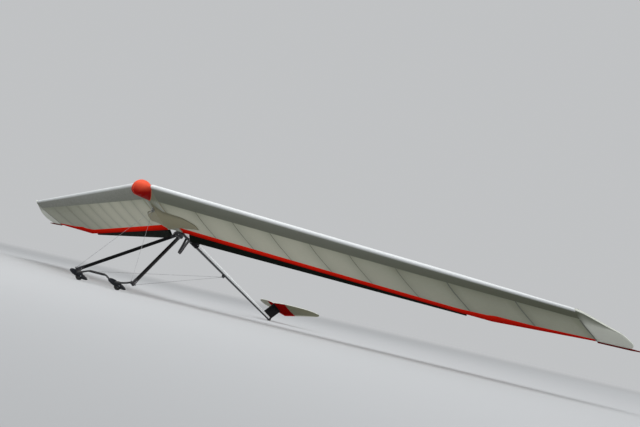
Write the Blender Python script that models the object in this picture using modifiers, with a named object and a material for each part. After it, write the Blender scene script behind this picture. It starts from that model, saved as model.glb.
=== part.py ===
"""Rigid-wing hang glider standing on the two wheels of its control frame and the end of its tail boom.

Working frame of the airframe: X to the pilot's left, Y aft along the keel, Z up off the keel, origin on
the keel axis under the nose. Everything hangs on one empty that pitches the nose up onto the ground line.
"""
import math

import bmesh
import bpy
import numpy as np
from mathutils import Matrix, Vector

# Wing planform, one half, in metres
HALF_SPAN = 6.20            # centre to the tip rib
TIP_REACH = 0.52            # raked tip beyond the tip rib
LEADING_SWEEP = 2.50        # leading edge at the tip rib, aft of the nose
LEADING_START = -0.03       # leading edge at the centre
LEADING_HEIGHT = 0.075      # leading edge above the keel axis at the centre
RISE = 0.63                 # rise of the wing at the tip rib
TRAIL_START = 0.945         # trailing edge at the centre
TRAIL_KINK_X = 4.70         # trailing edge bends here
TRAIL_KINK_Y = 2.95
TRAIL_TIP_Y = 3.245
TRAIL_HEIGHT = -0.076       # trailing edge at the centre, above the keel axis
TRAIL_KINK_Z = 0.510
TRAIL_TIP_Z = 0.697
TIP_AFT = 0.90              # raked tip runs back this far
ROOT_X = 0.17               # half width of the centre section
SPAR_ROOT = 0.29            # chord of the leading edge box at the root
SPAR_TIP = 0.19
STRIP_WIDTH = 0.125         # red trailing strip
STRIP_WIDEST = 0.19         # at the kink
STRIP_TIP = 0.05
EDGE_THICKNESS = 0.004      # half thickness of the plain trailing edge

# Flap and spoiler
FLAP_IN = 0.25
FLAP_OUT = 4.35
FLAP_NOSE_IN = 0.022        # nose radius
FLAP_NOSE_OUT = 0.008
FLAP_CHORD_IN = 0.165
FLAP_CHORD_OUT = 0.035
FLAP_GAP = 0.0055
END_GAP = 0.0055            # flap ends to their hinge brackets
PIN_RADIUS = 0.003
PIN_DEPTH = 0.018
FLAP_REST = 20.0            # degrees down as parked
SPOILER_IN = 3.05
SPOILER_OUT = 4.15
SPOILER_CHORD = 0.11
SPOILER_THICK = 0.008
SPOILER_AT = 0.42           # hinge at this share of the chord

# Keel and tail
KEEL_RADIUS = 0.046
KEEL_FRONT = 0.42
KEEL_REAR = 1.45
BOOM_REAR = 3.60
BOOM_STEP = 0.0025          # boom thinner than the keel it slides on
BOOM_TAPER = 0.0145
SLEEVE_HALF = 0.07
END_RADIUS = 0.033
FIN_FRONT = 3.42
FIN_CHORD = 0.23
FIN_TOP = 0.250
FIN_RAKE = 0.12
TAIL_FRONT = 3.53
TAIL_CHORD = 0.38
TAIL_HALF_SPAN = 0.70
TAIL_CENTRE = 0.21
TAIL_RISE = 0.14
TAIL_SWEEP = 0.31
TAIL_HEIGHT = 0.256

# Nose cap and the fairing under the wing root
CAP_RADIUS = 0.16
CAP_CENTRE_Y = 0.062
CAP_CENTRE_Z = -0.0025
CAP_EDGE = 0.05             # reach along the wing at the cap's sides
CAP_REACH = 0.31            # and on the centre line
FAIRING_DEPTH = 0.045
FAIRING_GAP = 0.0022

# Control frame
APEX_Y = 1.10
APEX_Z = -0.115
CORNER_X = 0.68
CORNER_Y = 0.37
CORNER_Z = -1.36
TANG_Y = 0.44               # front stays meet under the nose
REAR_TANG_Y = 2.30
LOOP_Y = 1.30
LOOP_DROP = 0.298
LUG_REACH = 0.052           # stay lugs fore and aft of each corner
STAY_RADIUS = 0.002
BAR_RADIUS = 0.014
WHEEL_X = 0.47
BAR_WHEEL_Y = 0.215         # base bar where the wheel pods clamp it
BAR_WHEEL_Z = -1.48
POD_LENGTH = 0.36
POD_HEIGHT = 0.085
POD_WIDTH = 0.070
POD_TILT = 7.9              # degrees, tail of the pod up off the keel line
WHEEL_AFT = 0.10            # axle behind the base bar
WHEEL_DROP = 0.012
WHEEL_RADIUS = 0.065
WHEEL_WIDTH = 0.030
GAP = 0.0003

boom_front = KEEL_RADIUS - BOOM_STEP
boom_rear = boom_front - BOOM_TAPER

UPPER = ((0, 0), (.005, .016), (.0125, .026), (.025, .037), (.05, .053), (.1, .073), (.2, .093), (.3, .100),
         (.4, .098), (.5, .089), (.6, .075), (.7, .058), (.8, .039), (.9, .020), (1.0, .003))
LOWER = ((0, 0), (.005, -.010), (.0125, -.015), (.025, -.020), (.05, -.028), (.1, -.037), (.2, -.046),
         (.3, -.049), (.4, -.047), (.5, -.041), (.6, -.033), (.7, -.024), (.8, -.015), (.9, -.007), (1.0, -.003))

for obj in list(bpy.data.objects):
    bpy.data.objects.remove(obj, do_unlink=True)
for block in list(bpy.data.meshes):
    bpy.data.meshes.remove(block)

glider = bpy.data.collections.new("hang_glider")
cutters = bpy.data.collections.new("cutters")
bpy.context.scene.collection.children.link(glider)
bpy.context.scene.collection.children.link(cutters)

stance = bpy.data.objects.new("stance", None)
glider.objects.link(stance)


def material(name, colour, roughness, metallic=0.0):
    made = bpy.data.materials.new(name)
    made.use_nodes = True
    shader = made.node_tree.nodes["Principled BSDF"]
    shader.inputs["Base Color"].default_value = (*colour, 1.0)
    shader.inputs["Roughness"].default_value = roughness
    shader.inputs["Metallic"].default_value = metallic
    made.diffuse_color = (*colour, 1.0)
    return made


CLOTH = material("sail_cloth", (.62, .62, .56), .65)
WHITE = material("white_paint", (.78, .80, .82), .35)
RED = material("red_cloth", (.62, .02, .015), .5)
ORANGE = material("orange_cover", (.85, .10, .02), .45)
BLACK = material("black_carbon", (.012, .013, .015), .35)
TAIL_WHITE = material("cream_paint", (.72, .72, .62), .4)
METAL = material("black_anodised", (.03, .03, .035), .4, .6)
STEEL = material("stay_steel", (.45, .46, .48), .35, 1.0)
TYRE = material("tyre_rubber", (.015, .015, .015), .8)
HUB = material("hub_plastic", (.10, .10, .11), .5)
WEB = material("webbing", (.05, .05, .06), .8)


def settle(obj, frame, paint):
    """Give the object its material and hang it on the stance empty at this frame."""
    obj.data.materials.clear()
    obj.data.materials.append(paint)
    for group in (bpy.context.scene.collection, glider, cutters):
        if obj.name in group.objects:
            group.objects.unlink(obj)
    glider.objects.link(obj)
    obj.parent = stance
    obj.matrix_local = frame
    return obj


def solid(name, points, faces, paint, frame=None):
    """Closed body from points of the airframe frame, kept local to its own frame."""
    frame = frame if frame is not None else Matrix.Identity(4)
    back = frame.inverted()
    mesh = bpy.data.meshes.new(name)
    mesh.from_pydata([back @ Vector(p) for p in points], [], faces)
    work = bmesh.new()
    work.from_mesh(mesh)
    bmesh.ops.recalc_face_normals(work, faces=work.faces)
    bmesh.ops.triangulate(work, faces=[f for f in work.faces if len(f.verts) == 4])
    work.to_mesh(mesh)
    work.free()
    return settle(bpy.data.objects.new(name, mesh), frame, paint)


def loft(name, rings, paint, frame=None):
    """Skin over rings of equal length, flat caps at both ends."""
    count = len(rings[0])
    points = [p for ring in rings for p in ring]
    faces = []
    for i in range(len(rings) - 1):
        for j in range(count):
            k = (j + 1) % count
            faces.append((i * count + j, i * count + k, (i + 1) * count + k, (i + 1) * count + j))
    faces.append(tuple(range(count)))
    faces.append(tuple((len(rings) - 1) * count + j for j in range(count)))
    return solid(name, points, faces, paint, frame)


def rod_frame(start, end):
    """Frame at the middle of a rod whose Z runs along it and whose Y stays close to the fore and aft line."""
    start, end = Vector(start), Vector(end)
    z = (end - start).normalized()
    y = Vector((0, 1, 0))
    if abs(z.y) > 0.9:
        y = Vector((0, 0, 1))
    x = y.cross(z).normalized()
    y = z.cross(x)
    turn = Matrix((x, y, z)).transposed().to_4x4()
    return Matrix.Translation((start + end) / 2) @ turn, (end - start).length


def rod(name, start, end, radius, paint, end_radius=None, sides=20, squash=1.0):
    """Straight round or oval rod from a cylinder primitive."""
    frame, length = rod_frame(start, end)
    bpy.ops.mesh.primitive_cone_add(vertices=sides, radius1=radius, depth=length,
                                    radius2=radius if end_radius is None else end_radius)
    obj = bpy.context.object
    obj.name = name
    obj.data.name = name
    for vertex in obj.data.vertices:
        vertex.co.x *= squash
    return settle(obj, frame, paint)


def block(name, frame, centre, size, paint):
    """Box from the cube primitive, sized and centred in its frame."""
    bpy.ops.mesh.primitive_cube_add(size=1.0)
    obj = bpy.context.object
    obj.name = name
    obj.data.name = name
    obj.data.transform(Matrix.Translation(centre) @ Matrix.Diagonal((*size, 1.0)))
    return settle(obj, frame, paint)


def pipe(name, points, radius, paint, resolution=3, origin=(0, 0, 0)):
    """Bent round tube along a polyline, ends closed."""
    curve = bpy.data.curves.new(name, "CURVE")
    curve.dimensions = "3D"
    curve.bevel_depth = radius
    curve.bevel_resolution = resolution
    curve.use_fill_caps = True
    spline = curve.splines.new("POLY")
    spline.points.add(len(points) - 1)
    origin = Vector(origin)
    for spot, p in zip(spline.points, points):
        spot.co = (*(Vector(p) - origin), 1.0)
    holder = bpy.data.objects.new(name + "_path", curve)
    cutters.objects.link(holder)
    bpy.context.view_layer.update()
    mesh = bpy.data.meshes.new_from_object(holder.evaluated_get(bpy.context.evaluated_depsgraph_get()))
    bpy.data.objects.remove(holder, do_unlink=True)
    work = bmesh.new()
    work.from_mesh(mesh)
    bmesh.ops.remove_doubles(work, verts=work.verts, dist=0.00002)
    bmesh.ops.recalc_face_normals(work, faces=work.faces)
    work.to_mesh(mesh)
    work.free()
    mesh.name = name
    return settle(bpy.data.objects.new(name, mesh), Matrix.Translation(origin), paint)


def plate(name, outlines, thickness, paint, frame):
    """Flat plate from closed outlines in the frame's XY plane, holes allowed, centred on that plane."""
    curve = bpy.data.curves.new(name, "CURVE")
    curve.dimensions = "2D"
    curve.fill_mode = "BOTH"
    curve.extrude = thickness / 2
    for outline in outlines:
        spline = curve.splines.new("POLY")
        spline.points.add(len(outline) - 1)
        spline.use_cyclic_u = True
        for spot, (u, v) in zip(spline.points, outline):
            spot.co = (u, v, 0.0, 1.0)
    holder = bpy.data.objects.new(name + "_outline", curve)
    cutters.objects.link(holder)
    bpy.context.view_layer.update()
    mesh = bpy.data.meshes.new_from_object(holder.evaluated_get(bpy.context.evaluated_depsgraph_get()))
    bpy.data.objects.remove(holder, do_unlink=True)
    work = bmesh.new()
    work.from_mesh(mesh)
    bmesh.ops.remove_doubles(work, verts=work.verts, dist=0.00002)
    bmesh.ops.recalc_face_normals(work, faces=work.faces)
    work.to_mesh(mesh)
    work.free()
    mesh.name = name
    return settle(bpy.data.objects.new(name, mesh), frame, paint)


def turned(name, profile, paint, frame, sides=32):
    """Ring of revolution about the frame's Z axis from a closed profile of radius and height pairs."""
    mesh = bpy.data.meshes.new(name)
    count = len(profile)
    mesh.from_pydata([(r, 0, h) for r, h in profile], [(i, (i + 1) % count) for i in range(count)], [])
    obj = settle(bpy.data.objects.new(name, mesh), frame, paint)
    screw = obj.modifiers.new("turn", "SCREW")
    screw.axis = "Z"
    screw.angle = math.tau
    screw.steps = sides
    screw.render_steps = sides
    screw.use_merge_vertices = True
    screw.merge_threshold = 0.0001
    screw.use_normal_calculate = True
    bpy.context.view_layer.update()
    baked = bpy.data.meshes.new_from_object(obj.evaluated_get(bpy.context.evaluated_depsgraph_get()))
    obj.modifiers.clear()
    work = bmesh.new()
    work.from_mesh(baked)
    bmesh.ops.remove_doubles(work, verts=work.verts, dist=0.00002)
    bmesh.ops.recalc_face_normals(work, faces=work.faces)
    work.to_mesh(baked)
    work.free()
    baked.name = name
    obj.data = baked
    obj.data.materials.clear()
    obj.data.materials.append(paint)
    return obj


def combine(obj, other, operation):
    """Cut or join with another object and leave a plain mesh."""
    change = obj.modifiers.new(operation.lower(), "BOOLEAN")
    change.object = other
    change.operation = operation
    change.solver = "EXACT"
    bpy.context.view_layer.update()
    baked = bpy.data.meshes.new_from_object(obj.evaluated_get(bpy.context.evaluated_depsgraph_get()))
    obj.modifiers.clear()
    paint = obj.data.materials[0]
    work = bmesh.new()
    work.from_mesh(baked)
    bmesh.ops.remove_doubles(work, verts=work.verts, dist=0.00005)
    bmesh.ops.dissolve_degenerate(work, edges=work.edges, dist=0.00002)
    work.to_mesh(baked)
    work.free()
    baked.name = obj.name
    obj.data = baked
    obj.data.materials.clear()
    obj.data.materials.append(paint)
    bpy.data.objects.remove(other, do_unlink=True)
    return obj


def lowered(obj, drop):
    """Copy of a body moved down and aft a little, to cut a close fit against it."""
    copy = bpy.data.objects.new(obj.name + "_cut", obj.data.copy())
    return settle(copy, Matrix.Translation((0, drop, -drop)) @ obj.matrix_local, obj.data.materials[0])


def lerp(x, xs, ys):
    return float(np.interp(x, xs, ys))


def nose_round(x):
    """Leading edge line, softened across the nose."""
    slope = LEADING_SWEEP / HALF_SPAN
    x = abs(x)
    if x >= ROOT_X:
        return LEADING_START + slope * x
    soft = 0.06
    drop = math.hypot(ROOT_X, soft) - ROOT_X
    return LEADING_START + slope * (math.hypot(x, soft) - drop)


def flap_nose(x):
    return lerp(abs(x), (FLAP_IN, FLAP_OUT), (FLAP_NOSE_IN, FLAP_NOSE_OUT))


def flap_chord(x):
    return lerp(abs(x), (FLAP_IN, FLAP_OUT, TRAIL_KINK_X), (FLAP_CHORD_IN, FLAP_CHORD_OUT, 0.0))


def trail(x):
    """Middle of the trailing edge of the fixed wing: Y, Z and half thickness."""
    x = abs(x)
    y = lerp(x, (0, TRAIL_KINK_X, HALF_SPAN), (TRAIL_START, TRAIL_KINK_Y, TRAIL_TIP_Y))
    z = lerp(x, (0, TRAIL_KINK_X, HALF_SPAN), (TRAIL_HEIGHT, TRAIL_KINK_Z, TRAIL_TIP_Z))
    if x <= FLAP_OUT:
        half = flap_nose(x)
    else:
        half = lerp(x, (FLAP_OUT, TRAIL_KINK_X), (FLAP_NOSE_OUT, EDGE_THICKNESS))
    return y, z, half


def leading(x):
    return nose_round(x), LEADING_HEIGHT + RISE * abs(x) / HALF_SPAN


def skin(x, share, upper):
    """Point of the wing skin at span x and this share of the fixed chord."""
    ly, lz = leading(x)
    ty, tz, half = trail(x)
    chord = math.hypot(ty - ly, tz - lz)
    whole = chord + flap_chord(x)
    thick = lerp(abs(x), (0, TRAIL_KINK_X, HALF_SPAN), (1.0, .92, .80))
    table = UPPER if upper else LOWER
    xs = [row[0] for row in table]
    hs = [row[1] for row in table]
    reach = chord / whole
    height = whole * thick * lerp(share * reach, xs, hs)
    end = whole * thick * lerp(reach, xs, hs)
    height += share * ((half if upper else -half) - end)
    along = Vector((0, ty - ly, tz - lz)) / chord
    normal = Vector((0, -along.z, along.y))
    return Vector((x, ly, lz)) + along * chord * share + normal * height


def chord_at(x):
    ly, lz = leading(x)
    ty, tz, _ = trail(x)
    return math.hypot(ty - ly, tz - lz)


def spar_share(x):
    return lerp(abs(x), (0, HALF_SPAN), (SPAR_ROOT, SPAR_TIP)) / chord_at(x)


def strip_share(x):
    width = lerp(abs(x), (0, TRAIL_KINK_X - .4, TRAIL_KINK_X + .15, TRAIL_KINK_X + .65, HALF_SPAN),
                 (STRIP_WIDTH, STRIP_WIDTH * .95, STRIP_WIDEST, STRIP_WIDTH * .9, STRIP_TIP))
    return 1.0 - width / chord_at(x)


RIBS = (.124, .218, .310, .406, .500, .606)     # shares of the half span, inside the flap
STATIONS = ((ROOT_X + GAP, FLAP_IN) + tuple(HALF_SPAN * share for share in RIBS)
            + (FLAP_OUT, TRAIL_KINK_X, TRAIL_KINK_X + .15, TRAIL_KINK_X + .65, HALF_SPAN - GAP))
NOSE_STEPS = (0, .008, .03, .07, .14, .26, .45, .70, 1.0)
NOSE_STEPS_LOW = (1.0, .62, .30, .12, .04, .012)


def front_ring(x, last):
    """Nose of the section back to a share of the chord."""
    ring = [skin(x, last * s, True) for s in NOSE_STEPS]
    ring += [skin(x, last * s, False) for s in NOSE_STEPS_LOW]
    return ring


def mid_ring(x, first, last, count=5):
    top = [skin(x, first + (last - first) * i / (count - 1), True) for i in range(count)]
    low = [skin(x, last + (first - last) * i / (count - 1), False) for i in range(count)]
    return top + low


# Wing, left half on +X and right half on -X
for side, sign in (("left", 1), ("right", -1)):
    rows = [sign * x for x in STATIONS]
    loft("leading_edge_" + side, [front_ring(x, spar_share(x)) for x in rows], WHITE)
    sail = loft("sail_" + side,
                [mid_ring(x, spar_share(x) + GAP / chord_at(x), strip_share(x) - GAP / chord_at(x))
                 for x in rows], CLOTH)
    strip = loft("trailing_strip_" + side, [mid_ring(x, strip_share(x), 1.0, 3) for x in rows], RED)

    # Raked tip: share of its reach, share of its run aft, trailing corner drawn in
    rings = []
    tip_rows = ((0, 0, 0), (.165, .08, 0), (.30, .18, 0), (.44, .277, 0), (.58, .378, 0), (.70, .455, 0),
                (.83, .535, 0), (.90, .60, .02), (.96, .70, .06), (1.0, .80, .11))
    for out, back, drawn in tip_rows:
        x = HALF_SPAN + GAP + (TIP_REACH - GAP) * out
        ly, lz = leading(HALF_SPAN)
        ty, tz, half = trail(HALF_SPAN)
        ly = ly + TIP_AFT * back
        ty = ty + .13 * out - drawn
        lz = lz + (tz + .055 - lz) * out
        tz = tz + .055 * out
        chord = max(ty - ly, .03)
        base = chord_at(HALF_SPAN)
        ring = []
        for share in (0, .01, .04, .12, .3, .6, 1.0):
            flat = skin(HALF_SPAN, share, True) - skin(HALF_SPAN, share, False)
            mean = (skin(HALF_SPAN, share, True) + skin(HALF_SPAN, share, False)) / 2
            ring.append((share, flat.length / 2 * max(chord / base, .10),
                         (mean.z - lerp(share, (0, 1), (leading(HALF_SPAN)[1], trail(HALF_SPAN)[1])))
                         * chord / base))
        points = []
        for share, high, bow in ring:
            points.append((sign * x, ly + chord * share, lz + (tz - lz) * share + bow + high))
        for share, high, bow in reversed(ring[1:]):
            points.append((sign * x, ly + chord * share, lz + (tz - lz) * share + bow - high))
        rings.append(points)
    loft("wing_tip_" + side, rings, CLOTH)

    # Flap, hinged on a straight line behind the trailing edge
    hinge = []
    slant = math.hypot(1.0, (TRAIL_KINK_Y - TRAIL_START) / TRAIL_KINK_X)
    for x in (FLAP_IN, FLAP_OUT):
        y, z, half = trail(x)
        hinge.append(Vector((sign * x, y + (half + FLAP_GAP) * slant, z)))
    line = (hinge[1] - hinge[0]).normalized() * sign
    aft = (Vector((0, 1, -.05)) - line * Vector((0, 1, -.05)).dot(line)).normalized()
    up = line.cross(aft)
    frame = Matrix.Translation(hinge[0]) @ Matrix((line, aft, up)).transposed().to_4x4()
    droop = math.radians(FLAP_REST)
    span = (hinge[1] - hinge[0]).length
    rings = []
    for share in (0.0, .25, .5, .75, 1.0):
        nose = FLAP_NOSE_IN + (FLAP_NOSE_OUT - FLAP_NOSE_IN) * share
        chord = FLAP_CHORD_IN + (FLAP_CHORD_OUT - FLAP_CHORD_IN) * share
        outline = [(nose * math.cos(a), nose * math.sin(a))
                   for a in (math.radians(d) for d in range(90, 271, 20))]
        outline += [(chord * .55, -nose * .62), (chord - nose, -.003), (chord - nose, .003),
                    (chord * .55, nose * .66)]
        ring = []
        for v, w in outline:
            turn_v = v * math.cos(droop) + w * math.sin(droop)
            turn_w = -v * math.sin(droop) + w * math.cos(droop)
            ring.append(frame @ Vector((sign * span * share, turn_v, turn_w)))
        rings.append(ring)
    flap = loft("flap_" + side, rings, BLACK, frame)
    for end, at, nose, out in (("inner", 0.0, FLAP_NOSE_IN, -1), ("outer", span, FLAP_NOSE_OUT, 1)):
        face = sign * (at + out * END_GAP)
        far = sign * (at + out * (END_GAP + .005))
        deep = sign * (at - out * PIN_DEPTH)
        hold = nose + FLAP_GAP + .004
        bracket = block("flap_hinge_" + end + "_" + side, frame, ((face + far) / 2, .005 - hold / 2, 0),
                        (abs(far - face), hold, 2 * PIN_RADIUS + .004), METAL)
        pin = rod("pin", frame @ Vector((face + sign * out * .001, 0, 0)), frame @ Vector((deep, 0, 0)),
                  PIN_RADIUS, METAL, sides=12)
        combine(bracket, pin, "UNION")
        combine(bracket, lowered(strip, 2 * GAP), "DIFFERENCE")
        bore = rod("bore", frame @ Vector((sign * (at + out * .01), 0, 0)),
                   frame @ Vector((deep - sign * out * .001, 0, 0)), PIN_RADIUS + GAP, BLACK, sides=12)
        combine(flap, bore, "DIFFERENCE")

    # Spoiler flush in a pocket of the upper skin
    first = skin(sign * SPOILER_IN, SPOILER_AT, True)
    last = skin(sign * SPOILER_OUT, SPOILER_AT, True)
    line = (last - first).normalized() * sign
    behind = (skin(sign * (SPOILER_IN + SPOILER_OUT) / 2, SPOILER_AT + .1, True)
              - skin(sign * (SPOILER_IN + SPOILER_OUT) / 2, SPOILER_AT, True))
    aft = (behind - line * behind.dot(line)).normalized()
    up = line.cross(aft)
    origin = (first + last) / 2 - up * (SPOILER_THICK / 2)
    frame = Matrix.Translation(origin) @ Matrix((line, aft, up)).transposed().to_4x4()
    half_line = (last - first).length / 2
    pocket = block("pocket_" + side, frame, (0, SPOILER_CHORD / 2, .012),
                   (2 * half_line + .016, SPOILER_CHORD + .024, .068), CLOTH)
    combine(sail, pocket, "DIFFERENCE")
    spoiler = block("spoiler_" + side, frame, (0, SPOILER_CHORD / 2, .0004),
                    (2 * half_line, SPOILER_CHORD + .006, SPOILER_THICK), CLOTH)
    reach = Vector((half_line + .01, 0, 0))
    combine(spoiler, rod("bore", frame @ -reach, frame @ reach, .0022, CLOTH, sides=10), "DIFFERENCE")
    reach = Vector((half_line + .008 - GAP, 0, 0))
    rod("spoiler_pin_" + side, frame @ -reach, frame @ reach, .0018, STEEL, sides=10)


def cap_share(x):
    """How far back the nose cap reaches, pointed on the centre line."""
    reach = CAP_EDGE + (CAP_REACH - CAP_EDGE) * max(1 - abs(x / ROOT_X) ** 1.5, 0)
    return reach / chord_at(x)


CAP_UPPER = (172, 158, 144, 130, 116, 102, 85, 66)      # degrees round the ball, from the front over the top
CAP_LOWER = (-62, -90, -118, -146, -172)                # and from the back along the bottom to the front
CAP_LOWER_SIZE = (.60, .58, .80, 1.0, 1.0)              # drawn in underneath, where it runs aft to a point


def cap_ring(x):
    """Section of the nose cap: a ball on the centre line that runs into the wing section at its sides."""
    plain = front_ring(x, cap_share(x))
    radius = math.sqrt(max(CAP_RADIUS ** 2 - x * x, 0))
    centre = Vector((x, CAP_CENTRE_Y, CAP_CENTRE_Z))

    def ball(angle, size=1.0):
        return centre + Vector((0, math.cos(math.radians(angle)), math.sin(math.radians(angle)))) * radius * size

    count = len(CAP_UPPER)
    swollen = [ball(a) for a in CAP_UPPER] + plain[count:count + 2]
    swollen += [ball(a, size) for a, size in zip(CAP_LOWER, CAP_LOWER_SIZE)]
    weight = 1 - abs(x / ROOT_X) ** 3.5
    return [p.lerp(q, weight) for p, q in zip(plain, swollen)]


centre_rows = [ROOT_X * s for s in (-1, -.93, -.82, -.66, -.45, -.22, 0, .22, .45, .66, .82, .93, 1)]
loft("nose_cap", [cap_ring(x) for x in centre_rows], ORANGE)
centre = loft("centre_section", [mid_ring(x, cap_share(x) + GAP / chord_at(x), 1.0, 9) for x in centre_rows],
              CLOTH)
bore = rod("keel_bore", (0, KEEL_FRONT - GAP, 0), (0, KEEL_REAR, 0), KEEL_RADIUS + GAP, CLOTH, sides=28)
combine(centre, bore, "DIFFERENCE")

# Leaf shaped fairing under the wing root: half width, its front edge, its back edge, share of the depth
FAIRING = ((0, .345, .900, 1.0), (.022, .385, .900, 1.0), (.05, .430, .895, .98), (.10, .510, .885, .92),
           (.17, .548, .880, .80), (.24, .585, .885, .62), (.31, .620, .895, .45), (.38, .652, .905, .33),
           (.45, .705, .915, .24), (.51, .775, .930, .17), (.56, .850, .945, .11))
rings = []
for half, front, back, deep in [(-h, f, b, d) for h, f, b, d in reversed(FAIRING[1:])] + list(FAIRING):
    ly, lz = leading(half)
    ty, tz, _ = trail(half)
    ring = []
    steps = (0, .08, .2, .36, .52, .68, .82, .93, 1.0)
    lows = []
    for s in steps:
        y = front + (back - front) * s
        share = (y - ly) / (ty - ly)
        skin_z = skin(half, share, False).z
        ring.append((half, y, skin_z - FAIRING_GAP))
        belly = math.sin(math.pi * min(s * .62, .5)) * (1.0 if s < .82 else 1 - .45 * ((s - .82) / .18) ** 2)
        lows.append((half, y, skin_z - FAIRING_GAP - .0035 - FAIRING_DEPTH * deep * belly))
    rings.append(ring + lows[::-1])
fairing = loft("keel_fairing", rings, CLOTH)

# Keel, boom and its end
rod("keel_tube", (0, KEEL_FRONT, 0), (0, KEEL_REAR, 0), KEEL_RADIUS, WHITE, sides=28)
rod("tail_boom", (0, KEEL_REAR + GAP, 0), (0, BOOM_REAR, 0), boom_front, WHITE, boom_rear, 28)
sleeve_frame, _ = rod_frame((0, KEEL_REAR - SLEEVE_HALF, 0), (0, KEEL_REAR + SLEEVE_HALF, 0))
turned("boom_sleeve", [(KEEL_RADIUS + GAP, -SLEEVE_HALF), (KEEL_RADIUS + .005, -SLEEVE_HALF),
                       (KEEL_RADIUS + .005, SLEEVE_HALF), (KEEL_RADIUS + GAP, SLEEVE_HALF)], BLACK, sleeve_frame, 28)
end_frame, _ = rod_frame((0, BOOM_REAR + GAP, 0), (0, BOOM_REAR + .02, 0))
end_frame = Matrix.Translation((0, BOOM_REAR + GAP, 0)) @ end_frame.to_3x3().to_4x4()
profile = [(0.0, 0.0), (END_RADIUS * .9, 0.0), (END_RADIUS, .006), (END_RADIUS, .026)]
profile += [(END_RADIUS * math.cos(a), .026 + END_RADIUS * math.sin(a))
            for a in (math.radians(d) for d in (15, 30, 45, 60, 75, 90))]
cap_rings = []
for radius, height in profile[1:-1]:
    cap_rings.append([end_frame @ Vector((radius * math.cos(a), radius * math.sin(a), height))
                      for a in (math.tau * i / 28 for i in range(28))])
tiny = [end_frame @ Vector((.003 * math.cos(a), .003 * math.sin(a), profile[-1][1]))
        for a in (math.tau * i / 28 for i in range(28))]
loft("keel_end_cap", cap_rings + [tiny], TYRE)

# Fin and tailplane
rings = []
for z in (.012, FIN_TOP * .5, FIN_TOP):
    front = FIN_FRONT + FIN_RAKE * z / FIN_TOP
    thick = .013
    ring = []
    for share, half in ((0, 0), (.08, .62), (.3, 1), (.6, .8), (1, .15)):
        ring.append((thick * half + (.001 if share == 0 else 0), front + FIN_CHORD * share, z))
    for share, half in ((1, .15), (.6, .8), (.3, 1), (.08, .62)):
        ring.append((-thick * half, front + FIN_CHORD * share, z))
    rings.append(ring)
fin = loft("tail_fin", rings, BLACK)
boom_cut = rod("boom_cut", (0, KEEL_REAR + GAP, 0), (0, BOOM_REAR + .001, 0), boom_front + GAP, BLACK,
               boom_rear + GAP, 28)
combine(fin, boom_cut, "DIFFERENCE")
cap_cut = rod("cap_cut", (0, BOOM_REAR, 0), (0, BOOM_REAR + .2, 0), END_RADIUS + 2 * GAP, BLACK, sides=28)
combine(fin, cap_cut, "DIFFERENCE")


def tail_ring(x):
    out = abs(x) / TAIL_HALF_SPAN
    front = TAIL_FRONT + TAIL_SWEEP * out ** 1.5
    chord = lerp(out, (0, .36, .8, .93, 1), (TAIL_CHORD, .325, .195, .15, .075))
    if out > .8:
        front += .045 * ((out - .8) / .2) ** 2
    z = TAIL_HEIGHT + TAIL_RISE * out
    ring = []
    for share, half in ((0, 0), (.02, .32), (.1, .72), (.3, 1), (.6, .72), (1, .06)):
        ring.append((x, front + chord * share, z - .05 * chord * share + .042 * chord * half))
    for share, half in ((1, .06), (.6, .72), (.3, 1), (.1, .72), (.02, .32)):
        ring.append((x, front + chord * share, z - .05 * chord * share - .042 * chord * half))
    return ring


centre_plane = loft("tailplane_centre", [tail_ring(TAIL_CENTRE * s) for s in (-1, -.5, 0, .5, 1)], RED)
combine(fin, lowered(centre_plane, 2 * GAP), "DIFFERENCE")
for side, sign in (("left", 1), ("right", -1)):
    root = TAIL_CENTRE + GAP
    loft("tailplane_" + side, [tail_ring(sign * (root + (TAIL_HALF_SPAN - root) * share))
                               for share in (0, .3, .56, .73, .87, .95, 1)], TAIL_WHITE)

# Apex yoke on the keel, tangs for the stays, hang loop
across = Matrix.Translation((0, APEX_Y, 0)) @ Matrix(((1, 0, 0), (0, 0, -1), (0, 1, 0))).to_4x4()
yoke = [(KEEL_RADIUS + .012) * Vector((math.cos(a), math.sin(a)))
        for a in (math.radians(d) for d in range(-50, 231, 20))]
yoke = [(p.x, p.y) for p in yoke] + [(-.072, APEX_Z + .033), (-.072, APEX_Z - .003), (-.024, APEX_Z - .012),
                                     (.024, APEX_Z - .012), (.072, APEX_Z - .003), (.072, APEX_Z + .033)]
hole = [((KEEL_RADIUS + GAP) * math.cos(a), (KEEL_RADIUS + GAP) * math.sin(a))
        for a in (math.tau * (i + .5) / 28 for i in range(28))]
apex_yoke = plate("apex_yoke", [yoke, hole], .090, METAL, across)

loop_frame = Matrix.Translation((0, LOOP_Y, 0)) @ Matrix(((1, 0, 0), (0, 0, -1), (0, 1, 0))).to_4x4()
snug = (KEEL_RADIUS + .0006) / math.cos(math.radians(10))
outer = [((snug + .004) * math.cos(a), (snug + .004) * math.sin(a))
         for a in (math.radians(d) for d in range(-20, 201, 20))]
outer += [(-.020, .038 - LOOP_DROP), (-.017, .013 - LOOP_DROP), (-.009, -LOOP_DROP), (.009, -LOOP_DROP),
          (.017, .013 - LOOP_DROP), (.020, .038 - LOOP_DROP)]
inner = [(snug * math.cos(a), snug * math.sin(a))
         for a in (math.radians(d) for d in range(-20, 201, 20))]
inner += [(-.016, .038 - LOOP_DROP), (-.0135, .015 - LOOP_DROP), (-.007, .004 - LOOP_DROP),
          (.007, .004 - LOOP_DROP), (.0135, .015 - LOOP_DROP), (.016, .038 - LOOP_DROP)]
plate("hang_loop", [outer, inner], .045, WEB, loop_frame)

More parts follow.
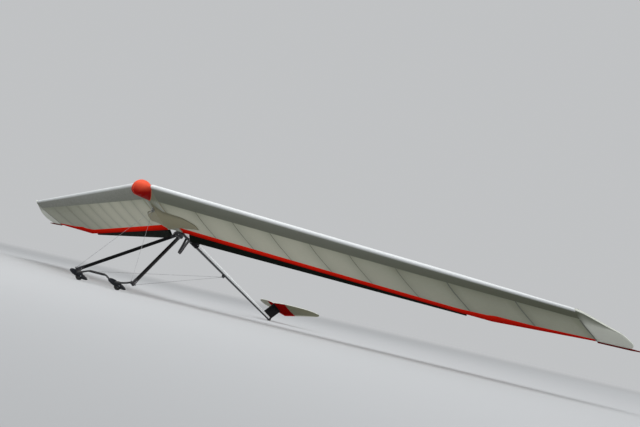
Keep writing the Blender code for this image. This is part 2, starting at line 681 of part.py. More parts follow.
upright = Matrix(((0, 0, 1), (1, 0, 0), (0, 1, 0))).to_4x4()
nose_low = skin(0, (TANG_Y - .01 - LEADING_START) / (TRAIL_START - LEADING_START), False).z
fair_low = nose_low - FAIRING_GAP - .0035 - .30 * FAIRING_DEPTH
tang = plate("front_tang", [[(-.03, .016), (-.03, -.028), (-.018, -.042), (.018, -.042), (.03, -.028),
                             (.03, .016)]], .008, METAL, Matrix.Translation((0, TANG_Y, fair_low - .006)) @ upright)
combine(tang, lowered(fairing, 2 * GAP), "DIFFERENCE")
rear_y = REAR_TANG_Y
rear_radius = lerp(rear_y, (KEEL_REAR, BOOM_REAR), (boom_front, boom_rear))
plate("rear_tang", [[(-.035, 0), (-.02, -.034), (.02, -.034), (.035, 0)]], .008, METAL,
      Matrix.Translation((0, rear_y, -rear_radius - .0008)) @ upright)

# Control frame
for side, sign in (("left", 1), ("right", -1)):
    corner = Vector((sign * CORNER_X, CORNER_Y, CORNER_Z))
    apex = Vector((sign * .050, APEX_Y, APEX_Z + .012))
    climb = (apex - corner).normalized()
    socket = rod("corner_" + side, corner - climb * .030, corner + climb * .070, .033, METAL, sides=20, squash=.6)
    arm = rod("corner_arm", corner, corner + Vector((-sign * .055, 0, 0)), .019, METAL, sides=20)
    combine(socket, arm, "UNION")
    lug = block("stay_lug", Matrix.Translation(corner), (0, 0, 0), (.008, 2 * LUG_REACH, .020), METAL)
    combine(socket, lug, "UNION")
    downtube = rod("downtube_" + side, corner + climb * (.070 + GAP), apex, .030, BLACK, sides=20, squash=.45)
    combine(downtube, lowered(apex_yoke, 2 * GAP), "DIFFERENCE")

half_bar = [(CORNER_X - .055 - GAP, CORNER_Y, CORNER_Z), (CORNER_X - .075, CORNER_Y, CORNER_Z),
            (CORNER_X - .115, CORNER_Y - .04, CORNER_Z - .045), (WHEEL_X + .050, BAR_WHEEL_Y + .004, BAR_WHEEL_Z + .002),
            (WHEEL_X + .04, BAR_WHEEL_Y, BAR_WHEEL_Z), (WHEEL_X - .04, BAR_WHEEL_Y, BAR_WHEEL_Z),
            (WHEEL_X - .060, BAR_WHEEL_Y, BAR_WHEEL_Z + .003), (.33, BAR_WHEEL_Y + .008, BAR_WHEEL_Z + .032),
            (.24, BAR_WHEEL_Y + .012, BAR_WHEEL_Z + .068), (.19, BAR_WHEEL_Y + .013, BAR_WHEEL_Z + .080)]
path = half_bar + [(-x, y, z) for x, y, z in reversed(half_bar)]
pipe("base_bar", path, BAR_RADIUS, BLACK, 3)

tilt = math.radians(POD_TILT)
for side, sign in (("left", 1), ("right", -1)):
    clamp = Vector((sign * WHEEL_X, BAR_WHEEL_Y, BAR_WHEEL_Z))
    pod_frame = Matrix.Translation(clamp) @ Matrix.Rotation(tilt, 4, "X")
    rings = []
    for at, size in ((-.100, .10), (-.092, .42), (-.07, .68), (-.035, .88), (.02, 1.0), (.08, 1.0), (.14, .90),
                     (.20, .66), (.24, .40), (.26, .14)):
        ring = []
        for i in range(20):
            a = math.tau * i / 20
            ring.append(pod_frame @ Vector((POD_WIDTH / 2 * size ** .7 * math.cos(a), at * POD_LENGTH / .36,
                                            POD_HEIGHT / 2 * size * math.sin(a))))
        rings.append(ring)
    pod = loft("wheel_pod_" + side, rings, BLACK, pod_frame)
    bar_hole = rod("bar_hole", clamp - Vector((.06, 0, 0)), clamp + Vector((.06, 0, 0)), BAR_RADIUS + GAP, BLACK,
                   sides=20)
    combine(pod, bar_hole, "DIFFERENCE")
    axle = pod_frame @ Vector((0, WHEEL_AFT, -WHEEL_DROP))
    slot_half = WHEEL_WIDTH / 2 + .006
    slot = block("slot", pod_frame, (0, WHEEL_AFT, 0), (2 * slot_half, 2 * WHEEL_RADIUS + .014, .18), BLACK)
    combine(pod, slot, "DIFFERENCE")
    wheel_frame = Matrix.Translation(axle) @ Matrix(((0, 0, 1), (1, 0, 0), (0, 1, 0))).to_4x4()
    w = WHEEL_WIDTH / 2
    r = WHEEL_RADIUS
    turned("wheel_" + side, [(.030, w * .8), (r * .88, w), (r * .97, w * .62), (r, w * .2), (r, -w * .2),
                             (r * .97, -w * .62), (r * .88, -w), (.030, -w * .8)], TYRE, wheel_frame, 40)
    turned("wheel_hub_" + side, [(.0056, w * .7), (.0297, w * .7), (.0297, -w * .7), (.0056, -w * .7)], HUB,
           wheel_frame, 24)
    rod("axle_" + side, axle - Vector((slot_half - GAP, 0, 0)), axle + Vector((slot_half - GAP, 0, 0)), .005, STEEL,
        sides=12)

# Main stays, from the corners to the nose and to the boom
for side, sign in (("left", 1), ("right", -1)):
    corner = Vector((sign * CORNER_X, CORNER_Y, CORNER_Z))
    beside = .004 + STAY_RADIUS * 1.06 + GAP + .0003
    front = Vector((sign * beside, TANG_Y, fair_low - .006 - .030))
    rear = Vector((sign * beside, rear_y, -rear_radius - .024))
    foot = corner - Vector((sign * (beside + .0004), 0, 0))
    rod("stay_front_" + side, foot - Vector((0, LUG_REACH - .008, 0)), front, STAY_RADIUS, STEEL, sides=8)
    rod("stay_rear_" + side, foot + Vector((0, LUG_REACH - .008, 0)), rear, STAY_RADIUS, STEEL, sides=8)

# Nose up until the wheels and the boom end share the ground, then the whole thing on the origin
axle_y = BAR_WHEEL_Y + WHEEL_AFT * math.cos(tilt) + WHEEL_DROP * math.sin(tilt)
axle_z = BAR_WHEEL_Z + WHEEL_AFT * math.sin(tilt) - WHEEL_DROP * math.cos(tilt)
end_y = BOOM_REAR + GAP + .026
reach = math.hypot(end_y - axle_y, axle_z)
pitch = math.atan2(-axle_z, end_y - axle_y) + math.asin((WHEEL_RADIUS - END_RADIUS) / reach)
stance.rotation_euler = (-pitch, 0, 0)
bpy.context.view_layer.update()
low = Vector((1e9, 1e9, 1e9))
high = Vector((-1e9, -1e9, -1e9))
for obj in glider.objects:
    if obj.type == "MESH":
        for vertex in obj.data.vertices:
            p = obj.matrix_world @ vertex.co
            low = Vector(map(min, low, p))
            high = Vector(map(max, high, p))
stance.location = (-(low.x + high.x) / 2, -(low.y + high.y) / 2, -low.z)
bpy.context.view_layer.update()
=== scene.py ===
"""Looks of the rigid-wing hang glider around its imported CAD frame.

Points are given in the airframe's own frame, as in the CAD source: X to the pilot's left, Y aft along the
keel, Z up, origin on the keel axis under the nose. STANCE takes them to the frame that the model parks in.
"""
import math

import bmesh
import bpy
import numpy as np
from mathutils import Matrix, Vector


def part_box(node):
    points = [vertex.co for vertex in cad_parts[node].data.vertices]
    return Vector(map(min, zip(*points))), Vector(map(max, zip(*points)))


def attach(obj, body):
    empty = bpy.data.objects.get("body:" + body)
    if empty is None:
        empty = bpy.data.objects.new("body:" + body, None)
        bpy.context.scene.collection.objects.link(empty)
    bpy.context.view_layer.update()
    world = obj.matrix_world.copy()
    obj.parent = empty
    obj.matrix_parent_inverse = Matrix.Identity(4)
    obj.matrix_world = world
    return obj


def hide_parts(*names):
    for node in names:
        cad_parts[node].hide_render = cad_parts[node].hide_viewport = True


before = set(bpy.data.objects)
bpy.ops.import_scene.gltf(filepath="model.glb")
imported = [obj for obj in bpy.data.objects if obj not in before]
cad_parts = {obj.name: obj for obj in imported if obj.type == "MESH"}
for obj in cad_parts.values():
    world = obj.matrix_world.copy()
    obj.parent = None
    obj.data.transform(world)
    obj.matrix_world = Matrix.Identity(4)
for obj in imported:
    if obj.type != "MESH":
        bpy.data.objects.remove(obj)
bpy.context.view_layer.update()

# Sizes shared with the CAD source, in metres
HALF_SPAN, TIP_REACH, TIP_AFT = 6.20, .52, .90
LEADING_SWEEP, LEADING_START, LEADING_HEIGHT, RISE = 2.50, -.03, .075, .63
TRAIL_START, TRAIL_KINK_X, TRAIL_KINK_Y, TRAIL_TIP_Y = .945, 4.70, 2.95, 3.245
TRAIL_HEIGHT, TRAIL_KINK_Z, TRAIL_TIP_Z = -.076, .510, .697
ROOT_X, SPAR_ROOT, SPAR_TIP = .17, .29, .19
STRIP_WIDTH, STRIP_WIDEST, STRIP_TIP, EDGE_THICKNESS = .125, .19, .05, .004
FLAP_IN, FLAP_OUT, FLAP_NOSE_IN, FLAP_NOSE_OUT = .25, 4.35, .022, .008
FLAP_CHORD_IN, FLAP_CHORD_OUT, FLAP_GAP, FLAP_REST = .165, .035, .0055, 20.0
SPOILER_IN, SPOILER_OUT, SPOILER_CHORD, SPOILER_THICK, SPOILER_AT = 3.05, 4.15, .11, .008, .42
KEEL_RADIUS, KEEL_FRONT, KEEL_REAR, BOOM_REAR = .046, .42, 1.45, 3.60
BOOM_FRONT_RADIUS, BOOM_REAR_RADIUS, SLEEVE_HALF, END_RADIUS = .0435, .029, .07, .033
FIN_FRONT, FIN_CHORD, FIN_TOP, FIN_RAKE = 3.42, .23, .250, .12
TAIL_FRONT, TAIL_CHORD, TAIL_HALF_SPAN, TAIL_CENTRE = 3.53, .38, .70, .21
TAIL_RISE, TAIL_SWEEP, TAIL_HEIGHT = .14, .31, .256
CAP_RADIUS, CAP_CENTRE_Y, CAP_CENTRE_Z, CAP_EDGE, CAP_REACH = .16, .062, -.0025, .05, .31
FAIRING_DEPTH, FAIRING_GAP = .045, .0022
APEX_Y, APEX_Z, CORNER = 1.10, -.115, Vector((.68, .37, -1.36))
TANG_Y, REAR_TANG_Y, LOOP_Y, LOOP_DROP = .44, 2.30, 1.30, .298
BAR_RADIUS, WHEEL_X, BAR_WHEEL_Y, BAR_WHEEL_Z = .014, .47, .215, -1.48
POD_HEIGHT, POD_WIDTH, POD_TILT, WHEEL_AFT, WHEEL_DROP = .085, .070, 7.9, .10, .012
WHEEL_RADIUS, WHEEL_WIDTH, GAP = .065, .030, .0003
PITCH = math.radians(24.565875)

# Wing section: share of the chord, and the heights of the upper and lower skin in chords
PROFILE = ((0, 0, 0), (.005, .016, -.010), (.0125, .026, -.015), (.025, .037, -.020), (.05, .053, -.028),
           (.1, .073, -.037), (.2, .093, -.046), (.3, .100, -.049), (.4, .098, -.047), (.5, .089, -.041),
           (.6, .075, -.033), (.7, .058, -.024), (.8, .039, -.015), (.9, .020, -.007), (1.0, .003, -.003))
RIBS = (.769, 1.352, 1.922, 2.517, 3.10, 3.757, 4.47, 5.38)
SAG = .0045                 # cloth drawn in between the ribs
TUBE_WIDE, TUBE_DEEP = .0135, .030      # half axes of the downtubes' section
CORNER_REACH, BAR_SOCKET = .070, .055   # how far a corner fitting covers the downtube and the bar
SIDES = (("left", 1), ("right", -1))

turn = Matrix.Rotation(-PITCH, 4, "X")
keel_low, keel_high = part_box("keel_tube")
keel_middle = Vector((0, (KEEL_FRONT + KEEL_REAR) / 2, 0))
STANCE = Matrix.Translation((keel_low + keel_high) / 2 - turn @ keel_middle) @ turn


# Numbers and directions
def unit(value):
    """Value held between 0 and 1."""
    return min(max(value, 0.0), 1.0)


def span(a, b, count):
    """Evenly spaced from a to b."""
    return [a + (b - a) * k / (count - 1) for k in range(count)]


def eased(a, b, count):
    """From a to b, closer together at both ends."""
    return [a + (b - a) * (1 - math.cos(math.pi * k / (count - 1))) / 2 for k in range(count)]


def lerp(x, xs, ys):
    """Straight lines through a table."""
    return float(np.interp(x, xs, ys))


def curve(x, xs, ys):
    """Smooth curve through a table."""
    k = int(min(max(np.searchsorted(xs, x) - 1, 0), len(xs) - 2))

    def slope(n):
        if n == 0 or n == len(xs) - 1:
            m = 1 if n == 0 else n
            return (ys[m] - ys[m - 1]) / (xs[m] - xs[m - 1])
        before, after = xs[n] - xs[n - 1], xs[n + 1] - xs[n]
        coming, going = (ys[n] - ys[n - 1]) / before, (ys[n + 1] - ys[n]) / after
        return (coming * after + going * before) / (before + after)

    wide = xs[k + 1] - xs[k]
    t = (x - xs[k]) / wide
    return ((1 + 2 * t) * (1 - t) ** 2 * ys[k] + t * (1 - t) ** 2 * wide * slope(k)
            + t * t * (3 - 2 * t) * ys[k + 1] + t * t * (t - 1) * wide * slope(k + 1))


def polar(degrees):
    """Cosine and sine of an angle."""
    return math.cos(math.radians(degrees)), math.sin(math.radians(degrees))


def circle(count):
    """Cosines and sines of evenly spaced turns."""
    return [(math.cos(math.tau * k / count), math.sin(math.tau * k / count)) for k in range(count)]


def axes(x, y, z):
    """Turn that takes X, Y and Z to three directions."""
    return Matrix((x, y, z)).transposed().to_4x4()


def linked(name, data):
    """New object of the scene."""
    made = bpy.data.objects.new(name, data)
    bpy.context.scene.collection.objects.link(made)
    return made


# Camera and light. The camera's place and axes are in the airframe's frame
FOCAL_PIXELS, PHOTO_WIDTH = 1330, 640
CAMERA_RIGHT = Vector((.712074, .510336, .482191)).normalized()
CAMERA_UP = Vector((-.120345, -.587898, .799933)).normalized()
camera = linked("camera", bpy.data.cameras.new("camera"))
camera.data.sensor_width = 36
camera.data.lens = FOCAL_PIXELS * camera.data.sensor_width / PHOTO_WIDTH
camera.data.clip_end = 500
camera.matrix_world = (STANCE @ Matrix.Translation((15.661312, -10.824281, -6.081623))
                       @ axes(CAMERA_RIGHT, CAMERA_UP, CAMERA_RIGHT.cross(CAMERA_UP)))
bpy.context.scene.camera = camera
bpy.context.scene.view_settings.view_transform = "Standard"


def softbox(name, place, target, size, power, colour):
    """Rectangular lamp that faces a target."""
    lamp = bpy.data.lights.new(name, "AREA")
    lamp.shape = "RECTANGLE"
    lamp.size, lamp.size_y = size
    lamp.energy = power
    lamp.color = colour
    facing = (Vector(place) - Vector(target)).to_track_quat("Z", "Y").to_matrix().to_4x4()
    linked(name, lamp).matrix_world = Matrix.Translation(place) @ facing


softbox("sky_box", (0, -3, 14), (0, 0, 1), (22, 16), 1700, (1, 1, 1))
softbox("front_box", (-6, -17, 6), (0, 0, 1.2), (12, 7), 480, (1, .99, .97))
softbox("side_box", (17, -6, 4.5), (0, 0, 1), (9, 6), 240, (.97, .98, 1))
softbox("rear_box", (3, 18, 7), (0, 0, 1), (12, 6), 260, (.98, .99, 1))

# Materials
BACKDROP = (.53, .54, .55)


class Paint:
    """Node tree of one material: every call adds a node and gives back the socket that it makes."""

    def __init__(self, name, slot=None):
        self.material = bpy.data.materials.new(name)
        self.material.use_nodes = True
        self.tree = self.material.node_tree
        self.shader = self.tree.nodes["Principled BSDF"]
        self.uv = self.node("ShaderNodeTexCoord").outputs["UV"]
        self.place = self.uv.node.outputs["Object"]

    def node(self, kind, **settings):
        made = self.tree.nodes.new(kind)
        for key, value in settings.items():
            setattr(made, key, value)
        return made

    def set(self, node, **inputs):
        for key, value in inputs.items():
            socket = node.inputs[int(key[1:]) if key[1:].isdigit() else key.replace("_", " ")]
            if isinstance(value, bpy.types.NodeSocket):
                self.tree.links.new(value, socket)
            else:
                socket.default_value = value
        return node

    def stretch(self, vector, scale, turn):
        node = self.set(self.node("ShaderNodeMapping"), Vector=vector, Scale=scale, Rotation=(0, 0, turn))
        return node.outputs["Vector"]

    def noise(self, vector, scale, detail=3.0, rough=.5, twist=0.0):
        node = self.node("ShaderNodeTexNoise")
        self.set(node, Vector=vector, Scale=scale, Detail=detail, Roughness=rough, Distortion=twist)
        return node.outputs["Fac"]

    def wave(self, vector, width, direction="X"):
        """Smooth bands, light and dark, each of about this width."""
        node = self.node("ShaderNodeTexWave", bands_direction=direction, wave_profile="SIN")
        scale = 1 / width / math.tau
        return self.set(node, Vector=vector, Scale=scale, Distortion=0.0, Detail=1.0).outputs["Fac"]

    def math(self, kind, a, b):
        return self.set(self.node("ShaderNodeMath", operation=kind), _0=a, _1=b).outputs[0]

    def ramp(self, value, low, high, start=0.0, end=1.0):
        """Smooth step of a value from one range to another."""
        node = self.node("ShaderNodeMapRange", interpolation_type="SMOOTHSTEP")
        return self.set(node, Value=value, From_Min=low, From_Max=high, To_Min=start, To_Max=end).outputs[0]

    def mix(self, share, a, b, kind="MIX"):
        node = self.node("ShaderNodeMix", data_type="RGBA", blend_type=kind)
        a, b = ((*c, 1.0) if isinstance(c, tuple) else c for c in (a, b))
        return self.set(node, _0=share, _6=a, _7=b).outputs[2]

    def stain(self, colour, mask, share, tint):
        """Colour multiplied by a tint where the mask is high."""
        return self.mix(self.math("MULTIPLY", mask, share), colour, self.mix(1.0, colour, tint, "MULTIPLY"))

    def tone(self):
        """Value stored on the mesh, from 0, light, to 1, dark: painted shade on most skins, two-tone paint on
        the keel and boom, wear on the tyres.
        """
        return self.node("ShaderNodeAttribute", attribute_name="tone").outputs["Fac"]

    def bump(self, height, distance, strength=1.0, under=None):
        node = self.set(self.node("ShaderNodeBump"), Height=height, Distance=distance, Strength=strength)
        if under is not None:
            self.set(node, Normal=under)
        return node.outputs["Normal"]

    def done(self, **inputs):
        self.set(self.shader, **inputs)
        return self.material


def cloth(name, slot, light, dark, rough, sheen=0.0, coat=0.0, ripstop=.006, wrinkle=.0012, weave=.16,
          shine=.25):
    """Sailcloth: ripstop threads, faint creases along the pull, blotches, and painted shade where the mesh's
    tone is high, darker toward seams.
    """
    p = Paint(name, slot)
    blotch = p.ramp(p.noise(p.place, 1.3, 4), .3, .7)
    fine = p.noise(p.place, 26, 3)
    # Painted shade: the mesh's tone mixes the light colour toward the dark one.
    colour = p.mix(p.tone(), light, dark)
    colour = p.stain(colour, blotch, .22, (.80, .82, .80))
    colour = p.stain(colour, fine, .10, (.72, .71, .66))
    threads = p.ramp(p.math("MAXIMUM", p.wave(p.uv, ripstop, "X"), p.wave(p.uv, ripstop, "Y")), .90, .99)
    colour = p.stain(colour, threads, weave, (.78, .78, .76))
    creases = p.noise(p.stretch(p.uv, (.8, 7.0, 1.0), .2), 2.2, 4, .55, .4)
    normal = p.bump(creases, wrinkle, 1.0)
    normal = p.bump(threads, .0001, .6, normal)
    return p.done(Base_Color=colour, Roughness=p.ramp(fine, .2, .8, rough - .06, rough + .08), Normal=normal,
                  Sheen_Weight=sheen, Coat_Weight=coat, Coat_Roughness=.25, Specular_IOR_Level=shine)


def gloss(name, slot, light, dark, rough, coat=0.0, metal=0.0, grain=.0002, wear=.25, worn=(.5, .5, .5),
          shine=.5):
    """Paint, anodising or moulded plastic with orange peel, dust and rubbed patches."""
    p = Paint(name, slot)
    fine = p.noise(p.place, 60, 4)
    blotch = p.noise(p.place, 5, 4)
    colour = p.mix(p.tone(), light, dark)
    colour = p.stain(colour, p.ramp(blotch, .35, .75), .30, (.74, .74, .72))
    rubbed = p.math("MULTIPLY", p.ramp(p.noise(p.place, 34, 6, .7), .66, .74), wear)
    colour = p.mix(rubbed, colour, worn)
    normal = p.bump(p.noise(p.place, 240, 2), grain, .5)
    uneven = p.ramp(fine, .25, .75, rough - .06, rough + .12)
    return p.done(Base_Color=colour, Roughness=uneven, Normal=normal, Metallic=metal, Coat_Weight=coat,
                  Coat_Roughness=.12, Specular_IOR_Level=shine)


def carbon(name, slot, light, dark, thread, coat, rough, dusty, shine):
    """Clear-coated twill weave."""
    p = Paint(name, slot)
    slant = p.wave(p.stretch(p.uv, (1, 1, 1), .785), thread)
    cross = p.wave(p.stretch(p.uv, (1, 1, 1), -.785), thread * 2)
    weave = p.math("MULTIPLY", slant, cross)
    dust = p.math("MULTIPLY", p.ramp(p.noise(p.place, 3.2, 5), .45, .8), dusty)
    colour = p.mix(dust, p.mix(weave, dark, light), (.060, .062, .060))
    normal = p.bump(weave, .00006, .5)
    normal = p.bump(p.noise(p.place, 9, 2), .0006, .5, normal)
    return p.done(Base_Color=colour, Roughness=p.ramp(p.noise(p.place, 20, 4), .3, .8, rough, rough + .16),
                  Normal=normal, Coat_Weight=coat, Coat_Roughness=.14, Specular_IOR_Level=shine)


def rubber(name, slot, light, dark):
    """Moulded rubber, dusty where the tone says that it is worn."""
    p = Paint(name, slot)
    dust = p.ramp(p.noise(p.place, 30, 5), .4, .75)
    colour = p.mix(dust, dark, light)
    colour = p.mix(p.math("MULTIPLY", p.tone(), .6), colour, (.10, .095, .085))
    normal = p.bump(p.noise(p.place, 420, 3), .0003, .5)
    return p.done(Base_Color=colour, Roughness=p.ramp(dust, 0, 1, .68, .88), Normal=normal)


def webbing(name, slot, light, dark):
    """Woven strap with ribs across and two lines of stitches."""
    p = Paint(name, slot)
    ribs = p.wave(p.uv, .0016, "X")
    warp = p.wave(p.uv, .0030, "Y")
    weave = p.math("MULTIPLY", ribs, warp)
    colour = p.mix(weave, dark, light)
    stitch = p.math("MULTIPLY", p.ramp(p.wave(p.uv, .018, "Y"), .93, .99), p.ramp(ribs, .2, .6))
    colour = p.mix(stitch, colour, (.32, .31, .28))
    normal = p.bump(weave, .0005, .8)
    return p.done(Base_Color=colour, Roughness=p.ramp(weave, 0, 1, .8, .62), Normal=normal, Sheen_Weight=.2)


def wire(name, slot):
    """Stranded cable: the lay runs as a slant across the wire."""
    p = Paint(name, slot)
    lay = p.wave(p.stretch(p.place, (260, 260, 130), .5), 1 / math.tau, "DIAGONAL")
    dirt = p.ramp(p.noise(p.place, 40, 4), .4, .7)
    colour = p.mix(dirt, (.40, .41, .42), (.16, .16, .17))
    return p.done(Base_Color=colour, Roughness=p.ramp(dirt, 0, 1, .28, .5), Metallic=1.0,
                  Normal=p.bump(lay, .0004, .8))


def grip(name, slot):
    """Knitted sleeve, rubbed in places."""
    p = Paint(name, slot)
    knit = p.math("MULTIPLY", p.wave(p.uv, .004, "X"), p.wave(p.uv, .006, "Y"))
    rub = p.ramp(p.noise(p.place, 22, 4), .4, .75)
    colour = p.mix(rub, p.mix(knit, (.010, .010, .011), (.030, .030, .032)), (.050, .048, .045))
    return p.done(Base_Color=colour, Roughness=p.ramp(knit, 0, 1, .85, .65), Normal=p.bump(knit, .0009, .8))


# For the skins that carry a tone, the second colour of a cloth is its painted shade.
LINEN = cloth("sail_cloth_look", "sail_cloth", (.570, .565, .455), (.220, .230, .165), .50, shine=.16)
TOP_CLOTH = cloth("sail_top_look", "sail_cloth", (.68, .69, .66), (.36, .37, .35), .42, sheen=.05, coat=.12)
# Its dark olive colour is painted shade with a painted green reflection, for the box's underside.
SPAR_SKIN = cloth("spar_skin_look", "white_paint", (.80, .82, .83), (.045, .050, .010), .36, coat=.05,
                  ripstop=.008, wrinkle=.0005, weave=.03)
BAND_RED = cloth("red_band_look", "red_cloth", (.95, .022, .008), (.42, .006, .003), .60, shine=.0)
CAP_SKIN = cloth("nose_cap_look", "orange_cover", (.95, .125, .060), (.28, .003, .002), .46, ripstop=.004,
                 wrinkle=.0010, shine=.05)
FAIRING_SKIN = cloth("fairing_look", "sail_cloth", (.290, .270, .185), (.105, .100, .068), .52, shine=.10)
CENTRE_SKIN = cloth("centre_look", "sail_cloth", (.68, .69, .66), (.205, .215, .150), .48, shine=.14)
TIP_SKIN = cloth("tip_look", "sail_cloth", (.610, .620, .550), (.125, .135, .095), .50, shine=.12)
# Near-black tape; on the ribs its darkness also stands for painted shade in the creases beside them.
TAPE = cloth("rib_tape_look", "sail_cloth", (.120, .125, .100), (.070, .072, .060), .45, sheen=.05,
             ripstop=.003, wrinkle=.0002)
SEAM = cloth("seam_tape_look", "sail_cloth", (.200, .215, .155), (.170, .180, .130), .45, ripstop=.003,
             wrinkle=.0002)
TAIL_SKIN = cloth("cream_tail_look", "cream_paint", (.66, .66, .54), (.175, .172, .105), .40, coat=.05,
                  ripstop=.005, wrinkle=.0006, shine=.08)
TAIL_RED = cloth("red_tail_look", "red_cloth", (.70, .012, .006), (.22, .003, .002), .45, ripstop=.005,
                 wrinkle=.0006, shine=.0)
EDGE_DARK = cloth("tip_edge_look", "red_cloth", (.120, .006, .003), (.05, .003, .002), .50, shine=.0)
WHITE_PAINT = gloss("white_boom_look", "white_paint", (.78, .80, .80), (.010, .011, .012), .28, coat=.5,
                    grain=.00003, wear=.03, worn=(.45, .45, .44))
# Painted highlight: white beads that stand for the light caught by leading edges.
HIGHLIGHT_BEAD = gloss("highlight_bead_look", "white_paint", (.80, .82, .74), (.50, .52, .46), .30, coat=.4)
ANODISED = gloss("black_anodised_look", "black_anodised", (.030, .030, .034), (.014, .014, .016), .36,
                 coat=.1, metal=.6, grain=.0001, wear=.35, worn=(.20, .20, .21))
STEEL = gloss("steel_look", "stay_steel", (.48, .49, .51), (.30, .30, .32), .26, metal=1.0, grain=.00005,
              wear=.3, worn=(.22, .20, .18))
HUB = gloss("hub_look", "hub_plastic", (.11, .11, .12), (.05, .05, .055), .45, coat=.05, wear=.2,
            worn=(.2, .2, .2))
POCKET = gloss("pocket_look", "sail_cloth", (.045, .046, .045), (.02, .02, .02), .6)
POD_PAINT = gloss("pod_look", "black_carbon", (.011, .013, .018), (.006, .007, .009), .30, coat=.10,
                  grain=.0001, wear=.12, worn=(.07, .07, .08), shine=.2)
BAR_PAINT = gloss("bar_look", "black_carbon", (.012, .013, .014), (.008, .008, .009), .26, coat=.25,
                  grain=.0001, wear=.25, worn=(.08, .08, .08), shine=.3)
CARBON = carbon("black_carbon_look", "black_carbon", (.010, .011, .011), (.004, .004, .005), .0022, coat=.04,
                rough=.30, dusty=.08, shine=.08)
FLAP_SKIN = carbon("flap_look", "black_carbon", (.010, .014, .010), (.004, .006, .004), .0026, coat=0.0,
                   rough=.6, dusty=.05, shine=.02)
TYRE = rubber("tyre_look", "tyre_rubber", (.035, .035, .035), (.012, .012, .012))
STRAP = webbing("webbing_look", "webbing", (.060, .060, .070), (.018, .018, .022))
CABLE = wire("stay_look", "stay_steel")
GRIP = grip("grip_look", "webbing")


# Mesh helpers
def piece(name, mesh, paint, body="airframe", nodes=(), sharp=35):
    """Object of a mesh that rides on a body and may stand for some nodes."""
    mesh.materials.append(paint)
    mesh.shade_smooth()
    mesh.set_sharp_from_angle(angle=math.radians(sharp))
    obj = linked(name, mesh)
    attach(obj, body)
    if nodes:
        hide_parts(*nodes)
    return obj


def grid(name, rows, paint, body="airframe", nodes=(), closed=True, caps=True, tone=None, sharp=35,
         flip=False):
    """Skin over rows of points in the airframe's frame. UVs are metres along and round the skin."""
    count = len(rows[0])
    points = [STANCE @ Vector(p) for row in rows for p in row]
    wide = count if closed else count - 1
    starts = range(0, len(points), count)
    faces = [(a + j, a + (j + 1) % count, b + (j + 1) % count, b + j)
             for a, b in zip(starts[:-1], starts[1:]) for j in range(wide)]
    if closed and caps:
        faces += [tuple(range(a, a + count)) for a in (starts[0], starts[-1])]
    mesh = bpy.data.meshes.new(name)
    mesh.from_pydata(points, [], faces)
    table = np.array([[tuple(p) for p in row] for row in rows], float)
    round_it = np.concatenate([table, table[:, :1]], 1) if closed else table
    steps = np.cumsum(np.linalg.norm(np.diff(round_it, axis=1), axis=2), 1)
    v = np.concatenate([np.zeros((len(rows), 1)), steps], 1)
    steps = np.cumsum(np.linalg.norm(np.diff(table.mean(1), axis=0), axis=1))
    u = np.concatenate([[0], steps])
    layer = mesh.uv_layers.new(name="skin")
    for polygon in mesh.polygons:
        wraps = closed and polygon.index < starts[-1] and polygon.index % wide == wide - 1
        for spot, vertex in zip(polygon.loop_indices, polygon.vertices):
            i, j = divmod(vertex, count)
            layer.data[spot].uv = (u[i], v[i, count if wraps and j == 0 else j])
    if tone is not None:
        shade = mesh.attributes.new("tone", "FLOAT", "POINT")
        shade.data.foreach_set("value", [float(tone(i, j)) for i in range(len(rows)) for j in range(count)])
    work = bmesh.new()
    work.from_mesh(mesh)
    bmesh.ops.remove_doubles(work, verts=work.verts, dist=1e-6)
    bmesh.ops.recalc_face_normals(work, faces=work.faces)
    if flip:
        bmesh.ops.reverse_faces(work, faces=work.faces)
    work.to_mesh(mesh)
    work.free()
    return piece(name, mesh, paint, body, nodes, sharp)


def mesh_of(name, work):
    """Mesh made from a finished bmesh."""
    mesh = bpy.data.meshes.new(name)
    work.to_mesh(mesh)
    work.free()
    return mesh


def apply_modifiers(obj):
    """Makes the modifiers part of the mesh."""
    bpy.context.view_layer.update()
    mesh = bpy.data.meshes.new_from_object(obj.evaluated_get(bpy.context.evaluated_depsgraph_get()))
    obj.modifiers.clear()
    obj.data = mesh


def thicken(obj, thickness):
    """Makes a sheet solid on its inner side."""
    change = obj.modifiers.new("skin", "SOLIDIFY")
    change.thickness = thickness
    change.offset = -1.0
    apply_modifiers(obj)


def carve(obj, mesh):
    """Cuts a mesh out of a piece."""
    cutter = linked("cutter", mesh)
    change = obj.modifiers.new("cut", "BOOLEAN")
    change.object = cutter
    change.operation = "DIFFERENCE"
    change.solver = "EXACT"
    apply_modifiers(obj)
    bpy.data.objects.remove(cutter, do_unlink=True)
    obj.data.set_sharp_from_angle(angle=math.radians(35))


def carve_box(obj, frame_of, centre, size):
    """Cuts a box, placed in a frame of the airframe, out of a piece."""
    work = bmesh.new()
    bmesh.ops.create_cube(work, size=1.0)
    bmesh.ops.transform(work, matrix=STANCE @ frame_of @ Matrix.Translation(centre)
                        @ Matrix.Diagonal((*size, 1.0)), verts=work.verts)
    carve(obj, mesh_of("box_cut", work))


def tube(path, radius, sides):
    """Rows of a round tube along a path, its frame carried along without twist."""
    path = [Vector(p) for p in path]
    radii = radius if isinstance(radius, (list, tuple)) else [radius] * len(path)
    ahead = [(path[min(i + 1, len(path) - 1)] - path[max(i - 1, 0)]).normalized() for i in range(len(path))]
    side = Vector((0, 0, 1)).cross(ahead[0])
    if side.length < .2:
        side = Vector((1, 0, 0))
    rows = []
    for spot, r, forward in zip(path, radii, ahead):
        side = (side - forward * side.dot(forward)).normalized()
        other = forward.cross(side)
        rows.append([spot + (side * c + other * s) * r for c, s in circle(sides)])
    return rows


def revolve(profile, frame_of, sides):
    """Rows of a body of revolution about a frame's Z axis, from (radius, height) pairs."""
    return [[frame_of @ Vector((r * c, r * s, h)) for c, s in circle(sides)] for r, h in profile]


